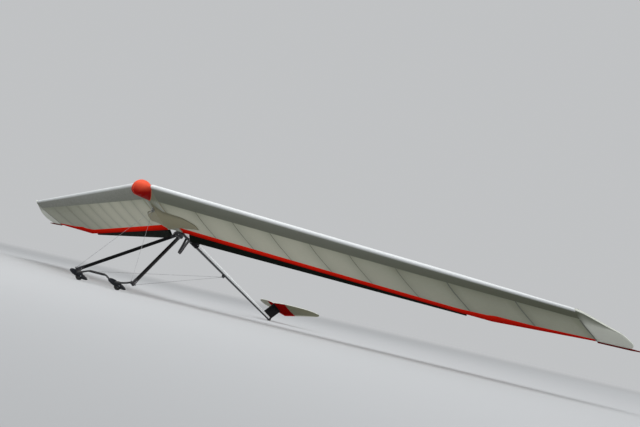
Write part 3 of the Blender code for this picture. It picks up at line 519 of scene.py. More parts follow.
def merged(name, parts, paint, body="airframe"):
    """One piece from several sets of rows that don't touch."""
    made = [grid(f"{name}_{i}", rows, paint, body) for i, rows in enumerate(parts)]
    work = bmesh.new()
    for obj in made:
        mesh = obj.data
        work.from_mesh(mesh)
        bpy.data.objects.remove(obj, do_unlink=True)
        bpy.data.meshes.remove(mesh)
    piece(name, mesh_of(name, work), paint, body)


def smoothed(path, times):
    """Corner cutting that keeps both ends."""
    path = [Vector(p) for p in path]
    for _ in range(times):
        cutoff = [path[0]]
        for a, b in zip(path[:-1], path[1:]):
            cutoff += [a.lerp(b, .25), a.lerp(b, .75)]
        path = cutoff + [path[-1]]
    return path


def round_heads(name, places, paint, radius, height):
    """Domed heads with a dimple, each at a point of a surface that faces a direction."""
    outline = ((0, .55), (.30, .60), (.34, 1), (.72, .96), (.95, .55), (1, 0), (.6, -.5), (0, -.5))
    profile = [(max(radius * r, .0002), height * h) for r, h in outline]
    parts = []
    for at, out in places:
        z, x = Vector(out).normalized(), Vector((0, .3, 1))
        x = (x - z * x.dot(z)).normalized()
        parts.append(revolve(profile, Matrix.Translation(at) @ axes(x, z.cross(x), z), 14))
    merged(name, parts, paint)


# Wing section
ROOTS = [math.sqrt(row[0]) for row in PROFILE]
UPPER, LOWER = ([row[k] for row in PROFILE] for k in (1, 2))
BENDS = (0, TRAIL_KINK_X, HALF_SPAN)


def leading(x):
    """Place along the keel and height of the leading edge."""
    slope = LEADING_SWEEP / HALF_SPAN
    x = abs(x)
    reach = x if x >= ROOT_X else math.hypot(x, .06) - (math.hypot(ROOT_X, .06) - ROOT_X)
    return LEADING_START + slope * reach, LEADING_HEIGHT + RISE * x / HALF_SPAN


def trail(x):
    """Place, height and half thickness of the trailing edge, where the flap's nose meets it."""
    x = abs(x)
    y = lerp(x, BENDS, (TRAIL_START, TRAIL_KINK_Y, TRAIL_TIP_Y))
    z = lerp(x, BENDS, (TRAIL_HEIGHT, TRAIL_KINK_Z, TRAIL_TIP_Z))
    if x <= FLAP_OUT:
        return y, z, lerp(x, (FLAP_IN, FLAP_OUT), (FLAP_NOSE_IN, FLAP_NOSE_OUT))
    return y, z, lerp(x, (FLAP_OUT, TRAIL_KINK_X), (FLAP_NOSE_OUT, EDGE_THICKNESS))


def chord_at(x):
    """Chord of the fixed wing, without the flap."""
    return math.hypot(trail(x)[0] - leading(x)[0], trail(x)[1] - leading(x)[1])


def skin(x, share, upper, lift=0.0):
    """Point of the wing skin at span x and a share of the fixed chord, lifted off the skin if asked."""
    ly, lz = leading(x)
    ty, tz, half = trail(x)
    chord = math.hypot(ty - ly, tz - lz)
    whole = chord + lerp(abs(x), (FLAP_IN, FLAP_OUT, TRAIL_KINK_X), (FLAP_CHORD_IN, FLAP_CHORD_OUT, 0.0))
    thick = lerp(abs(x), BENDS, (1.0, .92, .80))
    heights = UPPER if upper else LOWER
    height = whole * thick * curve(math.sqrt(max(share * chord / whole, 0)), ROOTS, heights)
    end = whole * thick * curve(math.sqrt(chord / whole), ROOTS, heights)
    height += share * ((half if upper else -half) - end)
    along = Vector((0, ty - ly, tz - lz)) / chord
    normal = Vector((0, -along.z, along.y))
    return Vector((x, ly, lz)) + along * chord * share + normal * (height + (lift if upper else -lift))


def strip(sign, xs, shares, up, high, low):
    """Four points of a flat strip that stands on the skin and reaches into it."""
    return [skin(sign * xs[k], shares[k], up, lift) for k, lift in ((0, high), (1, high), (1, low), (0, low))]


def spar_width(x):
    return lerp(abs(x), (0, HALF_SPAN), (SPAR_ROOT, SPAR_TIP))


def spar_share(x):
    """Where the leading edge box ends and the sail begins."""
    return spar_width(x) / chord_at(x)


def strip_share(x):
    """Where the sail ends and the red band begins."""
    width = lerp(abs(x), (0, TRAIL_KINK_X - .4, TRAIL_KINK_X + .15, TRAIL_KINK_X + .65, HALF_SPAN),
                 (STRIP_WIDTH, STRIP_WIDTH * .95, STRIP_WIDEST, STRIP_WIDTH * .9, STRIP_TIP))
    return 1.0 - width / chord_at(x)


EDGES = (ROOT_X,) + RIBS + (HALF_SPAN,)     # ends of the bays
# Raked tip: share of its reach, share of its run aft, trailing corner drawn in
TIP = ((0, 0, 0), (.165, .08, 0), (.30, .18, 0), (.44, .277, 0), (.58, .378, 0), (.70, .455, 0),
       (.83, .535, 0), (.90, .60, .02), (.96, .70, .06), (1.0, .80, .11))
WAND_AFT, WAND_RISE = .13, .055     # run of the tip's back edge, aft and up


def bay(x):
    """0 at a rib and 1 in the middle between two."""
    x = min(max(abs(x), ROOT_X), HALF_SPAN)
    k = min(max(int(np.searchsorted(EDGES, x)) - 1, 0), len(EDGES) - 2)
    return math.sin(math.pi * (x - EDGES[k]) / (EDGES[k + 1] - EDGES[k]))


def stations(steps):
    """Span stations with every rib and every bend among them."""
    fixed = [ROOT_X + GAP, FLAP_IN, *RIBS, FLAP_OUT, TRAIL_KINK_X, TRAIL_KINK_X + .15, TRAIL_KINK_X + .65,
             HALF_SPAN - GAP]
    extra = [a + (b - a) * k / steps for a, b in zip(EDGES[:-1], EDGES[1:]) for k in range(1, steps)]
    beside, closest = .025, .012
    near = [r + d for r in RIBS for d in (-beside, beside)]
    rows = sorted(fixed)
    for x in sorted(extra + near):
        if min(abs(x - r) for r in rows) > closest and rows[0] < x < rows[-1]:
            rows = sorted(rows + [x])
    return rows


STATIONS = stations(6)


# Wing
def spar_box(side, sign):
    """Leading edge box: white on top and round the nose, greyer underneath toward the seam with painted
    shade, deeper outward.
    """
    rows = []
    around = [((k / 17) ** 2, True) for k in range(18)] + [((k / 21) ** 1.6, False) for k in range(21, 0, -1)]
    for x in STATIONS:
        last = spar_share(x)
        rows.append([skin(sign * x, last * s, up) for s, up in around])

    # Painted shade on the underside, deeper toward the seam and outward along the span.
    def spar_tone(i, j):
        share, up = around[j]
        reach = share * spar_width(STATIONS[i])
        outward = unit((STATIONS[i] - 2.6) / (HALF_SPAN - 2.6))
        deep = .835 + .045 * unit(reach / SPAR_TIP) + .085 * outward ** 1.2
        return 0.0 if up else unit((reach - .008) / .036) * deep

    grid("spar_skin_" + side, rows, SPAR_SKIN, nodes=["leading_edge_" + side], tone=spar_tone, sharp=50)


def sail_panels(side, sign):
    """Cloth drawn in between the ribs. Gives back the upper one, which the spoiler's pocket is cut in."""
    sails = []
    for half, up in (("upper", True), ("lower", False)):
        shares = eased(0, 1, 17)
        rows = []
        for x in STATIONS:
            first = spar_share(x) + GAP / chord_at(x)
            last = strip_share(x) - GAP / chord_at(x)
            hollow = SAG * bay(x) ** 1.4
            rows.append([skin(sign * x, first + (last - first) * s, up, -hollow * math.sin(math.pi * s))
                         for s in shares])

        # Painted shade: darker beside the ribs; on top, next to the leading edge box; below, behind the box's
        # fold and outward along the span.
        def sail_tone(i, j):
            x = STATIONS[i]
            shade = max(0.0, .24 - min(abs(x - r) for r in EDGES) * 1.5)
            if up:
                return min(shade + max(0.0, .35 - shares[j] * 4), .8)
            outward = unit((x - 2.3) / 2.6)
            fold = (.34 + .30 * max(0, 1 - x / 1.5)) * (1 - shares[j]) ** 3
            return min(shade + fold + .58 * outward, .92)

        sail = grid(f"sail_{half}_{side}", rows, TOP_CLOTH if up else LINEN, nodes=["sail_" + side],
                    closed=False, tone=sail_tone, flip=(sign > 0) != up)
        thicken(sail, .0008)
        sails.append(sail)
    return sails[0]


def trailing_band(side, sign):
    """Red band round the trailing edge."""
    around = [(k / 4, True) for k in range(5)] + [(k / 4, False) for k in range(4, -1, -1)]
    rows = []
    for x in STATIONS:
        first = strip_share(x)
        rows.append([skin(sign * x, first + (1 - first) * s, up, .0006) for s, up in around])

    # Painted shade: light on top; below, darker toward the back, near the root and outward, and darker still
    # along the trailing edge itself.
    def band_tone(i, j):
        share, up = around[j]
        root = max(0.0, 1 - STATIONS[i] / 1.2) ** .6
        outward = .60 * (STATIONS[i] / HALF_SPAN) ** 1.6
        below = .7 * share ** 1.5 + .45 * root + outward
        return min(1.0, (.1 if up else below) + (.3 if share == 1 else 0))

    grid("trailing_band_" + side, rows, BAND_RED, nodes=["trailing_strip_" + side], tone=band_tone, sharp=40)


def tapes_and_seams(side, sign):
    """Tapes over the ribs, the seam between box and sail, and the joint at the tip rib, above and below. The
    rib tapes' near-black colour also paints the shade of the creases along the ribs.
    """
    parts = []
    for x in RIBS:
        # The two outermost tapes are twice as wide
        half = .010 if x > 4 else .0050
        for up in (True, False):
            parts.append([strip(sign, (x - half, x + half), (s, s), up, .0009, -.0004)
                          for s in span(spar_share(x) - .01, strip_share(x) + .004, 24)])
    merged("rib_tapes_" + side, parts, TAPE)
    parts = []
    for up in (True, False):
        rows = []
        for x in STATIONS:
            s, half = spar_share(x), .005 / chord_at(x)
            rows.append(strip(sign, (x, x), (s - half, s + half), up, .0007, -.0006))
        parts.append(rows)
    merged("spar_seam_" + side, parts, SEAM)
    parts = []
    for up, first in ((True, 0), (False, spar_share(HALF_SPAN) + .02)):
        parts.append([[skin(sign * (HALF_SPAN + dx), s, up, lift)
                       for dx, lift in ((-.012, .0002), (-.012, .0014), (.012, .0014), (.012, .0002))]
                      for s in eased(first, 1, 26)])
    merged("tip_joint_" + side, parts, TAPE)


def raked_tip(side, sign):
    """Tip panel with a white bead along its front, which paints the highlight of the front edge, and a dark
    wand along its back.
    """
    outs = (0, .05, .11, .18, .26, .34, .43, .52, .61, .70, .77, .83, .87, .90, .93, .96, .985, 1.0)
    shares = (0, .006, .02, .05, .10, .18, .28, .40, .55, .70, .85, 1.0)
    base = chord_at(HALF_SPAN)
    (front_y, front_z), (back_y, back_z, _) = leading(HALF_SPAN), trail(HALF_SPAN)
    rows = []
    for out in outs:
        back, drawn = (lerp(out, [r[0] for r in TIP], [r[k] for r in TIP]) for k in (1, 2))
        ly, ty = front_y + TIP_AFT * back, back_y + WAND_AFT * out - drawn
        lz, tz = front_z + (back_z + WAND_RISE - front_z) * out, back_z + WAND_RISE * out
        chord = max(ty - ly, .03)
        top, low = [], []
        for share in shares:
            a, b = skin(HALF_SPAN, share, True), skin(HALF_SPAN, share, False)
            high = (a - b).length / 2 * max(chord / base, .10)
            bow = ((a + b).z / 2 - lerp(share, (0, 1), (front_z, back_z))) * chord / base
            x = sign * (HALF_SPAN + GAP + (TIP_REACH - GAP) * out)
            top.append(Vector((x, ly + chord * share, lz + (tz - lz) * share + bow + high)))
            low.append(Vector((x, ly + chord * share, lz + (tz - lz) * share + bow - high)))
        rows.append(top + low[:0:-1])
    count = len(rows[0])

    # Painted shade: underneath, dark behind the front edge over a share that narrows outward; a little darker
    # at the tip's inner end.
    def tip_tone(i, j):
        share = shares[j] if j < len(shares) else shares[count - j]
        shade = max(0.0, 1 - share / max(.42 * (1 - outs[i] / .80), .03)) ** .6
        return .95 * shade * (j >= len(shares)) + .25 * max(0.0, 1 - outs[i] * 9)

    grid("tip_skin_" + side, rows, TIP_SKIN, nodes=["wing_tip_" + side], tone=tip_tone, sharp=45)
    # Painted highlight: a white bead along the tip's front edge.
    lead = [row[0] + Vector((sign * .0005, -.0015, .0005)) for row in rows]
    end = [rows[-1][k].lerp(rows[-1][-k], .5) + Vector((sign * .002, 0, 0))
           for k in range(3, len(shares) - 1)]
    path = smoothed(lead + end, 2)
    radii = [max(.0075, .015 - .010 * (p - path[0]).length / .25) for p in path]
    grid("tip_highlight_bead_" + side, tube(path, radii, 12), HIGHLIGHT_BEAD)
    wand = [Vector((sign * (HALF_SPAN + TIP_REACH * out), back_y + WAND_AFT * out + .008,
                    back_z + WAND_RISE * out - .006)) for out in span(.01, 1.22, 24)]
    grid("tip_edge_" + side, tube(wand, [.0135] * 16 + span(.0135, .005, 8), 16), EDGE_DARK)


def flap(side, sign):
    """Flap on its hinge line, drooped as it parks."""
    slant = math.hypot(1.0, (TRAIL_KINK_Y - TRAIL_START) / TRAIL_KINK_X)
    hinge = []
    for x in (FLAP_IN, FLAP_OUT):
        y, z, half = trail(x)
        hinge.append(Vector((sign * x, y + (half + FLAP_GAP) * slant, z)))
    line = (hinge[1] - hinge[0]).normalized() * sign
    aft = (Vector((0, 1, -.05)) - line * Vector((0, 1, -.05)).dot(line)).normalized()
    flap_frame = Matrix.Translation(hinge[0]) @ axes(line, aft, line.cross(aft))
    cosine, sine = polar(FLAP_REST)
    length = (hinge[1] - hinge[0]).length
    rows = []
    for share in [0, .004] + span(.03, .97, 28) + [.996, 1]:
        nose = FLAP_NOSE_IN + (FLAP_NOSE_OUT - FLAP_NOSE_IN) * share
        chord = FLAP_CHORD_IN + (FLAP_CHORD_OUT - FLAP_CHORD_IN) * share
        thin = .45 - nose / chord
        # Round nose, lower side, thin edge and upper side
        outline = [(nose * c, nose * s) for c, s in map(polar, range(90, 271, 12))]
        outline += [(chord * t, -nose * (1 - .38 * t / .55)) for t in (.14, .28, .42, .55)]
        outline += [(chord * (.55 + thin * t), -nose * .62 + (nose * .62 - .003) * t) for t in (.3, .65, 1)]
        outline += [(chord - nose + .0015, 0)]
        outline += [(chord * (.55 + thin * t), nose * .66 - (nose * .66 - .003) * t) for t in (1, .65, .3)]
        outline += [(chord * t, nose * (1 - .34 * t / .55)) for t in (.55, .42, .28, .14)]
        out = sign * length * share
        rows.append([flap_frame @ Vector((out, v * cosine + w * sine, -v * sine + w * cosine))
                     for v, w in outline])
    grid("flap_skin_" + side, rows, FLAP_SKIN, "flap_" + side, ["flap_" + side], sharp=40)


def spoiler(side, sign, upper_sail):
    """Spoiler lid in the pocket that is cut in the upper sail."""
    first, last = skin(sign * SPOILER_IN, SPOILER_AT, True), skin(sign * SPOILER_OUT, SPOILER_AT, True)
    line = (last - first).normalized() * sign
    middle = sign * (SPOILER_IN + SPOILER_OUT) / 2
    behind = skin(middle, SPOILER_AT + .1, True) - skin(middle, SPOILER_AT, True)
    aft = (behind - line * behind.dot(line)).normalized()
    up = line.cross(aft)
    origin = (first + last) / 2 - up * (SPOILER_THICK / 2)
    lid = Matrix.Translation(origin) @ axes(line, aft, up)
    half_line = (last - first).length / 2
    carve_box(upper_sail, lid, (0, SPOILER_CHORD / 2, .012),
              (2 * half_line + .016, SPOILER_CHORD + .024, .068))
    # Tray in the opening
    wide, near, far = half_line + .0078, SPOILER_CHORD / 2 - .0668, SPOILER_CHORD / 2 + .0668
    rows = []
    for inset, high in ((0, .0036), (0, -.0216), (.001, -.0206), (.001, .0036), (0, .0036)):
        rows.append([lid @ Vector((s * (wide - inset), near + inset if f == 0 else far - inset, high))
                     for s, f in ((-1, 0), (1, 0), (1, 1), (-1, 1))])
    grid("spoiler_pocket_" + side, rows, POCKET, caps=False, sharp=20)
    rows = [[lid @ Vector((x, y, -.0206)) for y in span(near + .001, far - .001, 4)]
            for x in span(-wide + .001, wide - .001, 20)]
    thicken(grid("spoiler_floor_" + side, rows, POCKET, closed=False), .0006)
    # Lid with softened edges
    rows = []
    low, high = -.003, SPOILER_CHORD + .003
    inner = span(-half_line + .05, half_line - .05, 20)
    for x in [-half_line, -half_line + .002] + inner + [half_line - .002, half_line]:
        pinch = .0012 if abs(x) > half_line - .001 else 0
        top = [(y, .0044 - pinch - (.0010 if y in (low, high) else 0)) for y in
               [low, low + .003] + span(low + .02, high - .02, 5) + [high - .003, high]]
        rows.append([lid @ Vector((x, y, z)) for y, z in top]
                    + [lid @ Vector((x, y, -.0036 + pinch)) for y, z in reversed(top)])
    grid("spoiler_lid_" + side, rows, TOP_CLOTH, "spoiler_" + side, ["spoiler_" + side], sharp=30)


for side, sign in SIDES:
    spar_box(side, sign)
    upper_sail = sail_panels(side, sign)
    trailing_band(side, sign)
    tapes_and_seams(side, sign)
    raked_tip(side, sign)
    flap(side, sign)
    spoiler(side, sign, upper_sail)


# Nose cap, centre panel, fairing
def cap_share(x):
    """Where the nose cap ends on the chord."""
    return (CAP_EDGE + (CAP_REACH - CAP_EDGE) * max(1 - abs(x / ROOT_X) ** 1.5, 0)) / chord_at(x)


# Angle round the ball, share of the cap's reach and, below, size of the ball
CAP_TOP = ((172, 0), (158, .008), (144, .03), (130, .07), (116, .14), (102, .26), (85, .45), (66, .70))
CAP_LOW = ((-62, .62, .60), (-90, .30, .58), (-118, .12, .80), (-146, .04, 1), (-172, .012, 1))


def cap_ring(x, grow=0.0):
    """Ball on the centre line that runs into the wing section at its sides."""
    last = cap_share(x)
    radius = math.sqrt(max(CAP_RADIUS ** 2 - x * x, 0)) + grow
    centre = Vector((x, CAP_CENTRE_Y, CAP_CENTRE_Z))
    # 1 on the centre line, where the ball is whole, and 0 at the root ribs, where the wing's section is
    weight = 1 - abs(x / ROOT_X) ** 3.5

    def swollen(angle, share, up, size=1.0):
        ball = centre + Vector((0, *polar(angle))) * radius * size
        return skin(x, last * share, up, grow).lerp(ball, weight)

    ring = []
    for table, up in ((CAP_TOP, True), (CAP_LOW, False)):
        places = range(len(table))
        for k in range(len(table) * 3 - 2):
            turn_to, share, *size = (lerp(k / 3, places, column) for column in zip(*table))
            ring.append(swollen(turn_to, share, up, *size))
        if up:
            top, low = skin(x, last, True, grow), skin(x, last, False, grow)
            ring += [ring[-1].lerp(top, .5), top, low, low.lerp(swollen(-62, .62, False, .60), .5)]
    return ring


def cap_tone(p):
    """Painted shade: 1 on the underside and toward the hem."""
    behind = max(0.0, p.y + .03) * 5.0 * unit((.13 - p.z) / .08)
    return min(1.0, max(0.0, (.070 - p.z) * 6.0) + behind)


centre_rows = [ROOT_X * math.sin(math.pi / 2 * t) for t in span(-1, 1, 41)]
rings = [cap_ring(x, .0004) for x in centre_rows]
grid("nose_cover", rings, CAP_SKIN, nodes=["nose_cap"], sharp=60,
     tone=lambda i, j: cap_tone(rings[i][j]))
parts = [tube([skin(x, cap_share(x), up, .0012) for x in centre_rows], .0026, 8) for up in (True, False)]
merged("nose_hem", parts, CAP_SKIN)
seam = cap_ring(0, .0004)
parts = [tube([p + Vector((dx, 0, 0)) for p in run], .0013, 6)
         for dx in (-.006, .006) for run in (seam[:24], seam[-13:])]
merged("nose_seam", parts, CAP_SKIN)


RIDGE = span(-ROOT_X, ROOT_X, 25)
AROUND = [(s, True) for s in eased(0, 1, 21)] + [(s, False) for s in reversed(eased(0, 1, 21))]


def panel_share(x, s):
    """Share of the chord at a step from the cap's hem, 0, to the trailing edge, 1."""
    first = cap_share(x) + GAP / chord_at(x)
    return first + (1 - first) * s


def panel_tone(i, j):
    """Painted shade: darker underneath, most of all where the spar passes, and along the keel."""
    x, (s, up) = RIDGE[i], AROUND[j]
    if up:
        return max(0.0, .25 - abs(x) * 5)
    return 1.0 if panel_share(x, s) < spar_share(x) * 1.03 else max(.55, 1.0 - abs(x) * 2.6)


rows = [[skin(x, panel_share(x, s), up) for s, up in AROUND] for x in RIDGE]
centre_panel = grid("centre_panel", rows, CENTRE_SKIN, nodes=["centre_section"], sharp=40, tone=panel_tone)
keel_slot = tube([(0, KEEL_FRONT - .002, 0), (0, KEEL_REAR, 0)], KEEL_RADIUS + .0012, 40)
cutter = grid("keel_slot", keel_slot, CARBON)
slot_mesh = cutter.data.copy()
bpy.data.objects.remove(cutter, do_unlink=True)
carve(centre_panel, slot_mesh)
for up, name, paint in ((True, "centre_zips", CENTRE_SKIN), (False, "centre_zips_low", FAIRING_SKIN)):
    first = cap_share(ROOT_X) + .004 if up else spar_share(ROOT_X) + .01
    parts = [[strip(sign, (ROOT_X - .010, ROOT_X + .010), (s, s), up, .0010, -.0004)
              for s in span(first, .985, 24)] for sign in (-1, 1)]
    merged(name, parts, paint)

# Fairing under the root: half width, front, back, depth
FAIRING = ((0, .345, .900, 1.0), (.022, .385, .900, 1.0), (.05, .430, .895, .98), (.10, .510, .885, .92),
           (.17, .548, .880, .80), (.24, .585, .885, .62), (.31, .620, .895, .45), (.38, .652, .905, .33),
           (.45, .705, .915, .24), (.51, .775, .930, .17), (.56, .850, .945, .11))
FAIRING_STEPS = eased(0, 1, 19)
halves = [row[0] for row in FAIRING]
rows = []
for half in [halves[-1] * math.sin(math.pi / 2 * t) for t in span(-1, 1, 49)]:
    front, back, deep = (curve(abs(half), halves, [row[k] for row in FAIRING]) for k in (1, 2, 3))
    ly, ty = leading(half)[0], trail(half)[0]
    top, low = [], []
    for s in FAIRING_STEPS:
        y = front + (back - front) * s
        z = skin(half, (y - ly) / (ty - ly), False).z - FAIRING_GAP
        belly = math.sin(math.pi * min(s * .62, .5)) * (1.0 if s < .82 else 1 - .45 * ((s - .82) / .18) ** 2)
        top.append(Vector((half, y, z)))
        low.append(Vector((half, y, z - .0035 - FAIRING_DEPTH * deep * belly)))
    rows.append(top + low[::-1])
# Painted shade along the fairing's front edge, from the tone below.
grid("fairing_skin", rows, FAIRING_SKIN, nodes=["keel_fairing"], sharp=50,
     tone=lambda i, j: .6 * max(0.0, 1 - (FAIRING_STEPS + FAIRING_STEPS[::-1])[j] * 5))
rim = tube([row[0].lerp(row[-1], .5) for row in rows], .0026, 8)
grid("fairing_rim", rim, FAIRING_SKIN, tone=lambda i, j: .3)


# Keel, boom, tail
KEEL_SIDES = 56


def boom_rows(y0, y1, r0, r1, steps):
    """Rows of a tapered tube along the keel axis."""
    rows = []
    for t in span(0, 1, steps):
        r = r0 + (r1 - r0) * t
        rows.append([Vector((r * c, y0 + (y1 - y0) * t, r * s)) for c, s in circle(KEEL_SIDES)])
    return rows


def two_tone(i, j):
    """1 on the black underside of the tubes."""
    return 1.0 if math.sin(math.tau * j / KEEL_SIDES) < -.50 else 0.0


def along_keel(y):
    """Frame on the keel axis whose Z runs aft."""
    return Matrix.Translation((0, y, 0)) @ Matrix(((1, 0, 0), (0, 0, 1), (0, -1, 0))).to_4x4()


grid("keel_skin", boom_rows(KEEL_FRONT, KEEL_REAR, KEEL_RADIUS, KEEL_RADIUS, 12), WHITE_PAINT,
     nodes=["keel_tube"], tone=two_tone)
grid("boom_skin", boom_rows(KEEL_REAR + GAP, BOOM_REAR, BOOM_FRONT_RADIUS, BOOM_REAR_RADIUS, 30), WHITE_PAINT,
     nodes=["tail_boom"], tone=two_tone)
r = KEEL_RADIUS
half = [(r + .0004, SLEEVE_HALF), (r + .004, SLEEVE_HALF), (r + .005, SLEEVE_HALF - .002), (r + .005, .052),
        (r + .0038, .050), (r + .0038, .030), (r + .005, .028)]
profile = [(q, -h) for q, h in half] + half[::-1]
grid("sleeve_skin", revolve(profile, along_keel(KEEL_REAR), KEEL_SIDES), CARBON, nodes=["boom_sleeve"],
     caps=False, sharp=25)
e = END_RADIUS
profile = [(e * .5, .0004), (e * .92, .0004), (e, .006), (e, .010), (e * .965, .011), (e * .965, .014),
           (e, .015), (e, .019), (e * .965, .020), (e * .965, .023), (e, .024), (e, .026)]
profile += [(e * c, .026 + e * s) for c, s in map(polar, (12, 24, 36, 48, 60, 72, 82))]
profile += [(.002, .026 + e)]
grid("end_cap_skin", revolve(profile, along_keel(BOOM_REAR), KEEL_SIDES), TYRE, nodes=["keel_end_cap"],
     sharp=30)

# Fin: share of its chord and of its half thickness
outline = [(0, .04), (.01, .26), (.03, .42), (.08, .62), (.17, .88), (.30, 1), (.45, .93), (.60, .80),
           (.80, .50), (1, .15)]
rows = []
for z in [.012] + span(.03, FIN_TOP + .002, 16):
    front = FIN_FRONT + FIN_RAKE * z / FIN_TOP
    rows.append([Vector((.013 * h, front + FIN_CHORD * s, z)) for s, h in outline]
                + [Vector((-.013 * h, front + FIN_CHORD * s, z)) for s, h in reversed(outline)])
grid("fin_skin", rows, CARBON, nodes=["tail_fin"], sharp=50)

TAIL_SHARES = [(k / 12) ** 2 for k in range(13)]
TAIL_TABLE = ([math.sqrt(t) for t in (0, .02, .1, .3, .6, 1)], [0, .32, .72, 1, .72, .06])


def tail_ring(x, grow=0.0):
    """Section of the tailplane."""
    out = abs(x) / TAIL_HALF_SPAN
    front = TAIL_FRONT + TAIL_SWEEP * out ** 1.5 + .045 * (max(out - .8, 0) / .2) ** 2
    back = TAIL_FRONT + TAIL_CHORD + .048 * out * out - .045 * (max(out - .9, 0) / .1) ** 2
    chord = back - front
    z = TAIL_HEIGHT + TAIL_RISE * out
    half = [.042 * chord * curve(math.sqrt(s), *TAIL_TABLE) + grow for s in TAIL_SHARES]
    top = [Vector((x, front + chord * s, z - .05 * chord * s + h)) for s, h in zip(TAIL_SHARES, half)]
    low = [Vector((x, front + chord * s, z - .05 * chord * s - h)) for s, h in zip(TAIL_SHARES, half)]
    return top + low[:0:-1]


def tail_tone(i, j):
    """Dark on the shaded underside."""
    return .93 if j > len(TAIL_SHARES) else 0.0


grid("tail_centre_skin", [tail_ring(x) for x in span(-TAIL_CENTRE, TAIL_CENTRE, 19)], TAIL_RED,
     nodes=["tailplane_centre"], tone=tail_tone, sharp=50)
for side, sign in SIDES:
    rows = [tail_ring(sign * x) for x in span(TAIL_CENTRE + GAP, TAIL_HALF_SPAN * .89, 15)
            + span(TAIL_HALF_SPAN * .90, TAIL_HALF_SPAN * .99, 10)]
    tip = tail_ring(sign * TAIL_HALF_SPAN * .995)
    middle = sum(tip, Vector()) / len(tip)
    rows += [[middle + (p - middle) * g + Vector((sign * dx, 0, 0)) for p in tip]
             for g, dx in ((1, 0), (.93, .002), (.72, .0034), (.35, .0035))]
    grid("tail_skin_" + side, rows, TAIL_SKIN, nodes=["tailplane_" + side], tone=tail_tone, sharp=50)
    # Painted highlight: a white bead along the tailplane's leading edge.
    lead = [tail_ring(sign * x)[0] + Vector((0, -.001, .0005)) for x in span(0, TAIL_HALF_SPAN * .99, 30)]
    grid("tail_highlight_bead_" + side, tube(lead, .0048, 10), HIGHLIGHT_BEAD)
    rows = [[p + Vector((sign * dx, 0, 0)) for p in tail_ring(sign * TAIL_CENTRE, g)]
            for dx, g in ((-.004, .0001), (-.004, .0009), (.004, .0009), (.004, .0001))]
    grid("tail_joint_" + side, rows, TAPE, caps=False)


# Control frame
def downtube_line(sign):
    """Corner, upper end and direction of a downtube."""
    corner = Vector((sign * CORNER.x, CORNER.y, CORNER.z))
    end = Vector((sign * .050, APEX_Y, APEX_Z + .012))
    return corner, end, (end - corner).normalized()


for side, sign in SIDES:
    corner, end, climb = downtube_line(sign)
    start = corner + climb * (CORNER_REACH + GAP)
    across = Vector((0, 1, 0)).cross(climb).normalized()
    fore = climb.cross(across)

    def oval(t, grow=0.0):
        at = start.lerp(end, t)
        return [at + across * ((TUBE_WIDE + grow) * c) + fore * ((TUBE_DEEP + grow) * s)
                for c, s in circle(40)]

    grid("downtube_skin_" + side, [oval(t) for t in span(0, 1, 24)], CARBON, nodes=["downtube_" + side])
    for place, low, high, lift in (("low", 0, .022, .0022), ("high", .945, .975, .0012)):
        rows = [oval(low, .0002), oval(low, lift), oval(high, lift), oval(high, .0002)]
        grid(f"downtube_band_{place}_{side}", rows, ANODISED, caps=False)

# Base bar from a corner to the middle: down to the wheel's clamp and up again to the grip
clamp, corner = (WHEEL_X, BAR_WHEEL_Y, BAR_WHEEL_Z), tuple(CORNER)
half_bar = [tuple(a + b for a, b in zip(start, step)) for start, step in (
    (corner, (-BAR_SOCKET - GAP, 0, 0)), (corner, (-.075, 0, 0)), (corner, (-.115, -.04, -.045)),
    (clamp, (.050, .004, .002)), (clamp, (.04, 0, 0)), (clamp, (-.04, 0, 0)), (clamp, (-.060, 0, .003)),
    (clamp, (-.14, .008, .032)), (clamp, (-.23, .012, .068)), (clamp, (-.28, .013, .080)))]
bar_path = smoothed(half_bar + [(-x, y, z) for x, y, z in reversed(half_bar)], 3)
grid("bar_skin", tube(bar_path, BAR_RADIUS, 28), BAR_PAINT, nodes=["base_bar"])
_, grip_y, grip_z = half_bar[-1]
TURNS, PER_TURN, WRAP_RADIUS = 34, 12, BAR_RADIUS + .0016
wrap = [(x, grip_y + c * WRAP_RADIUS, grip_z + s * WRAP_RADIUS)
        for x, (c, s) in zip(span(-.178, .178, TURNS * PER_TURN + 1), circle(PER_TURN) * (TURNS + 1))]
grid("bar_grip_ridge", tube(wrap, .0022, 6), GRIP)
inside = [(x, grip_y, grip_z) for x in span(-.184, .184, 30)]
grid("bar_grip", tube(inside, BAR_RADIUS + .0018, 28), GRIP)

POD_AT = (-.100, -.092, -.07, -.035, .02, .08, .14, .20, .24, .26)
POD_SIZE = (.10, .42, .68, .88, 1.0, 1.0, .90, .66, .40, .14)


def pod_size(at):
    """Share of the pod's full section at a place along it."""
    return min(1.0, max(.10, curve(at, POD_AT, POD_SIZE)))


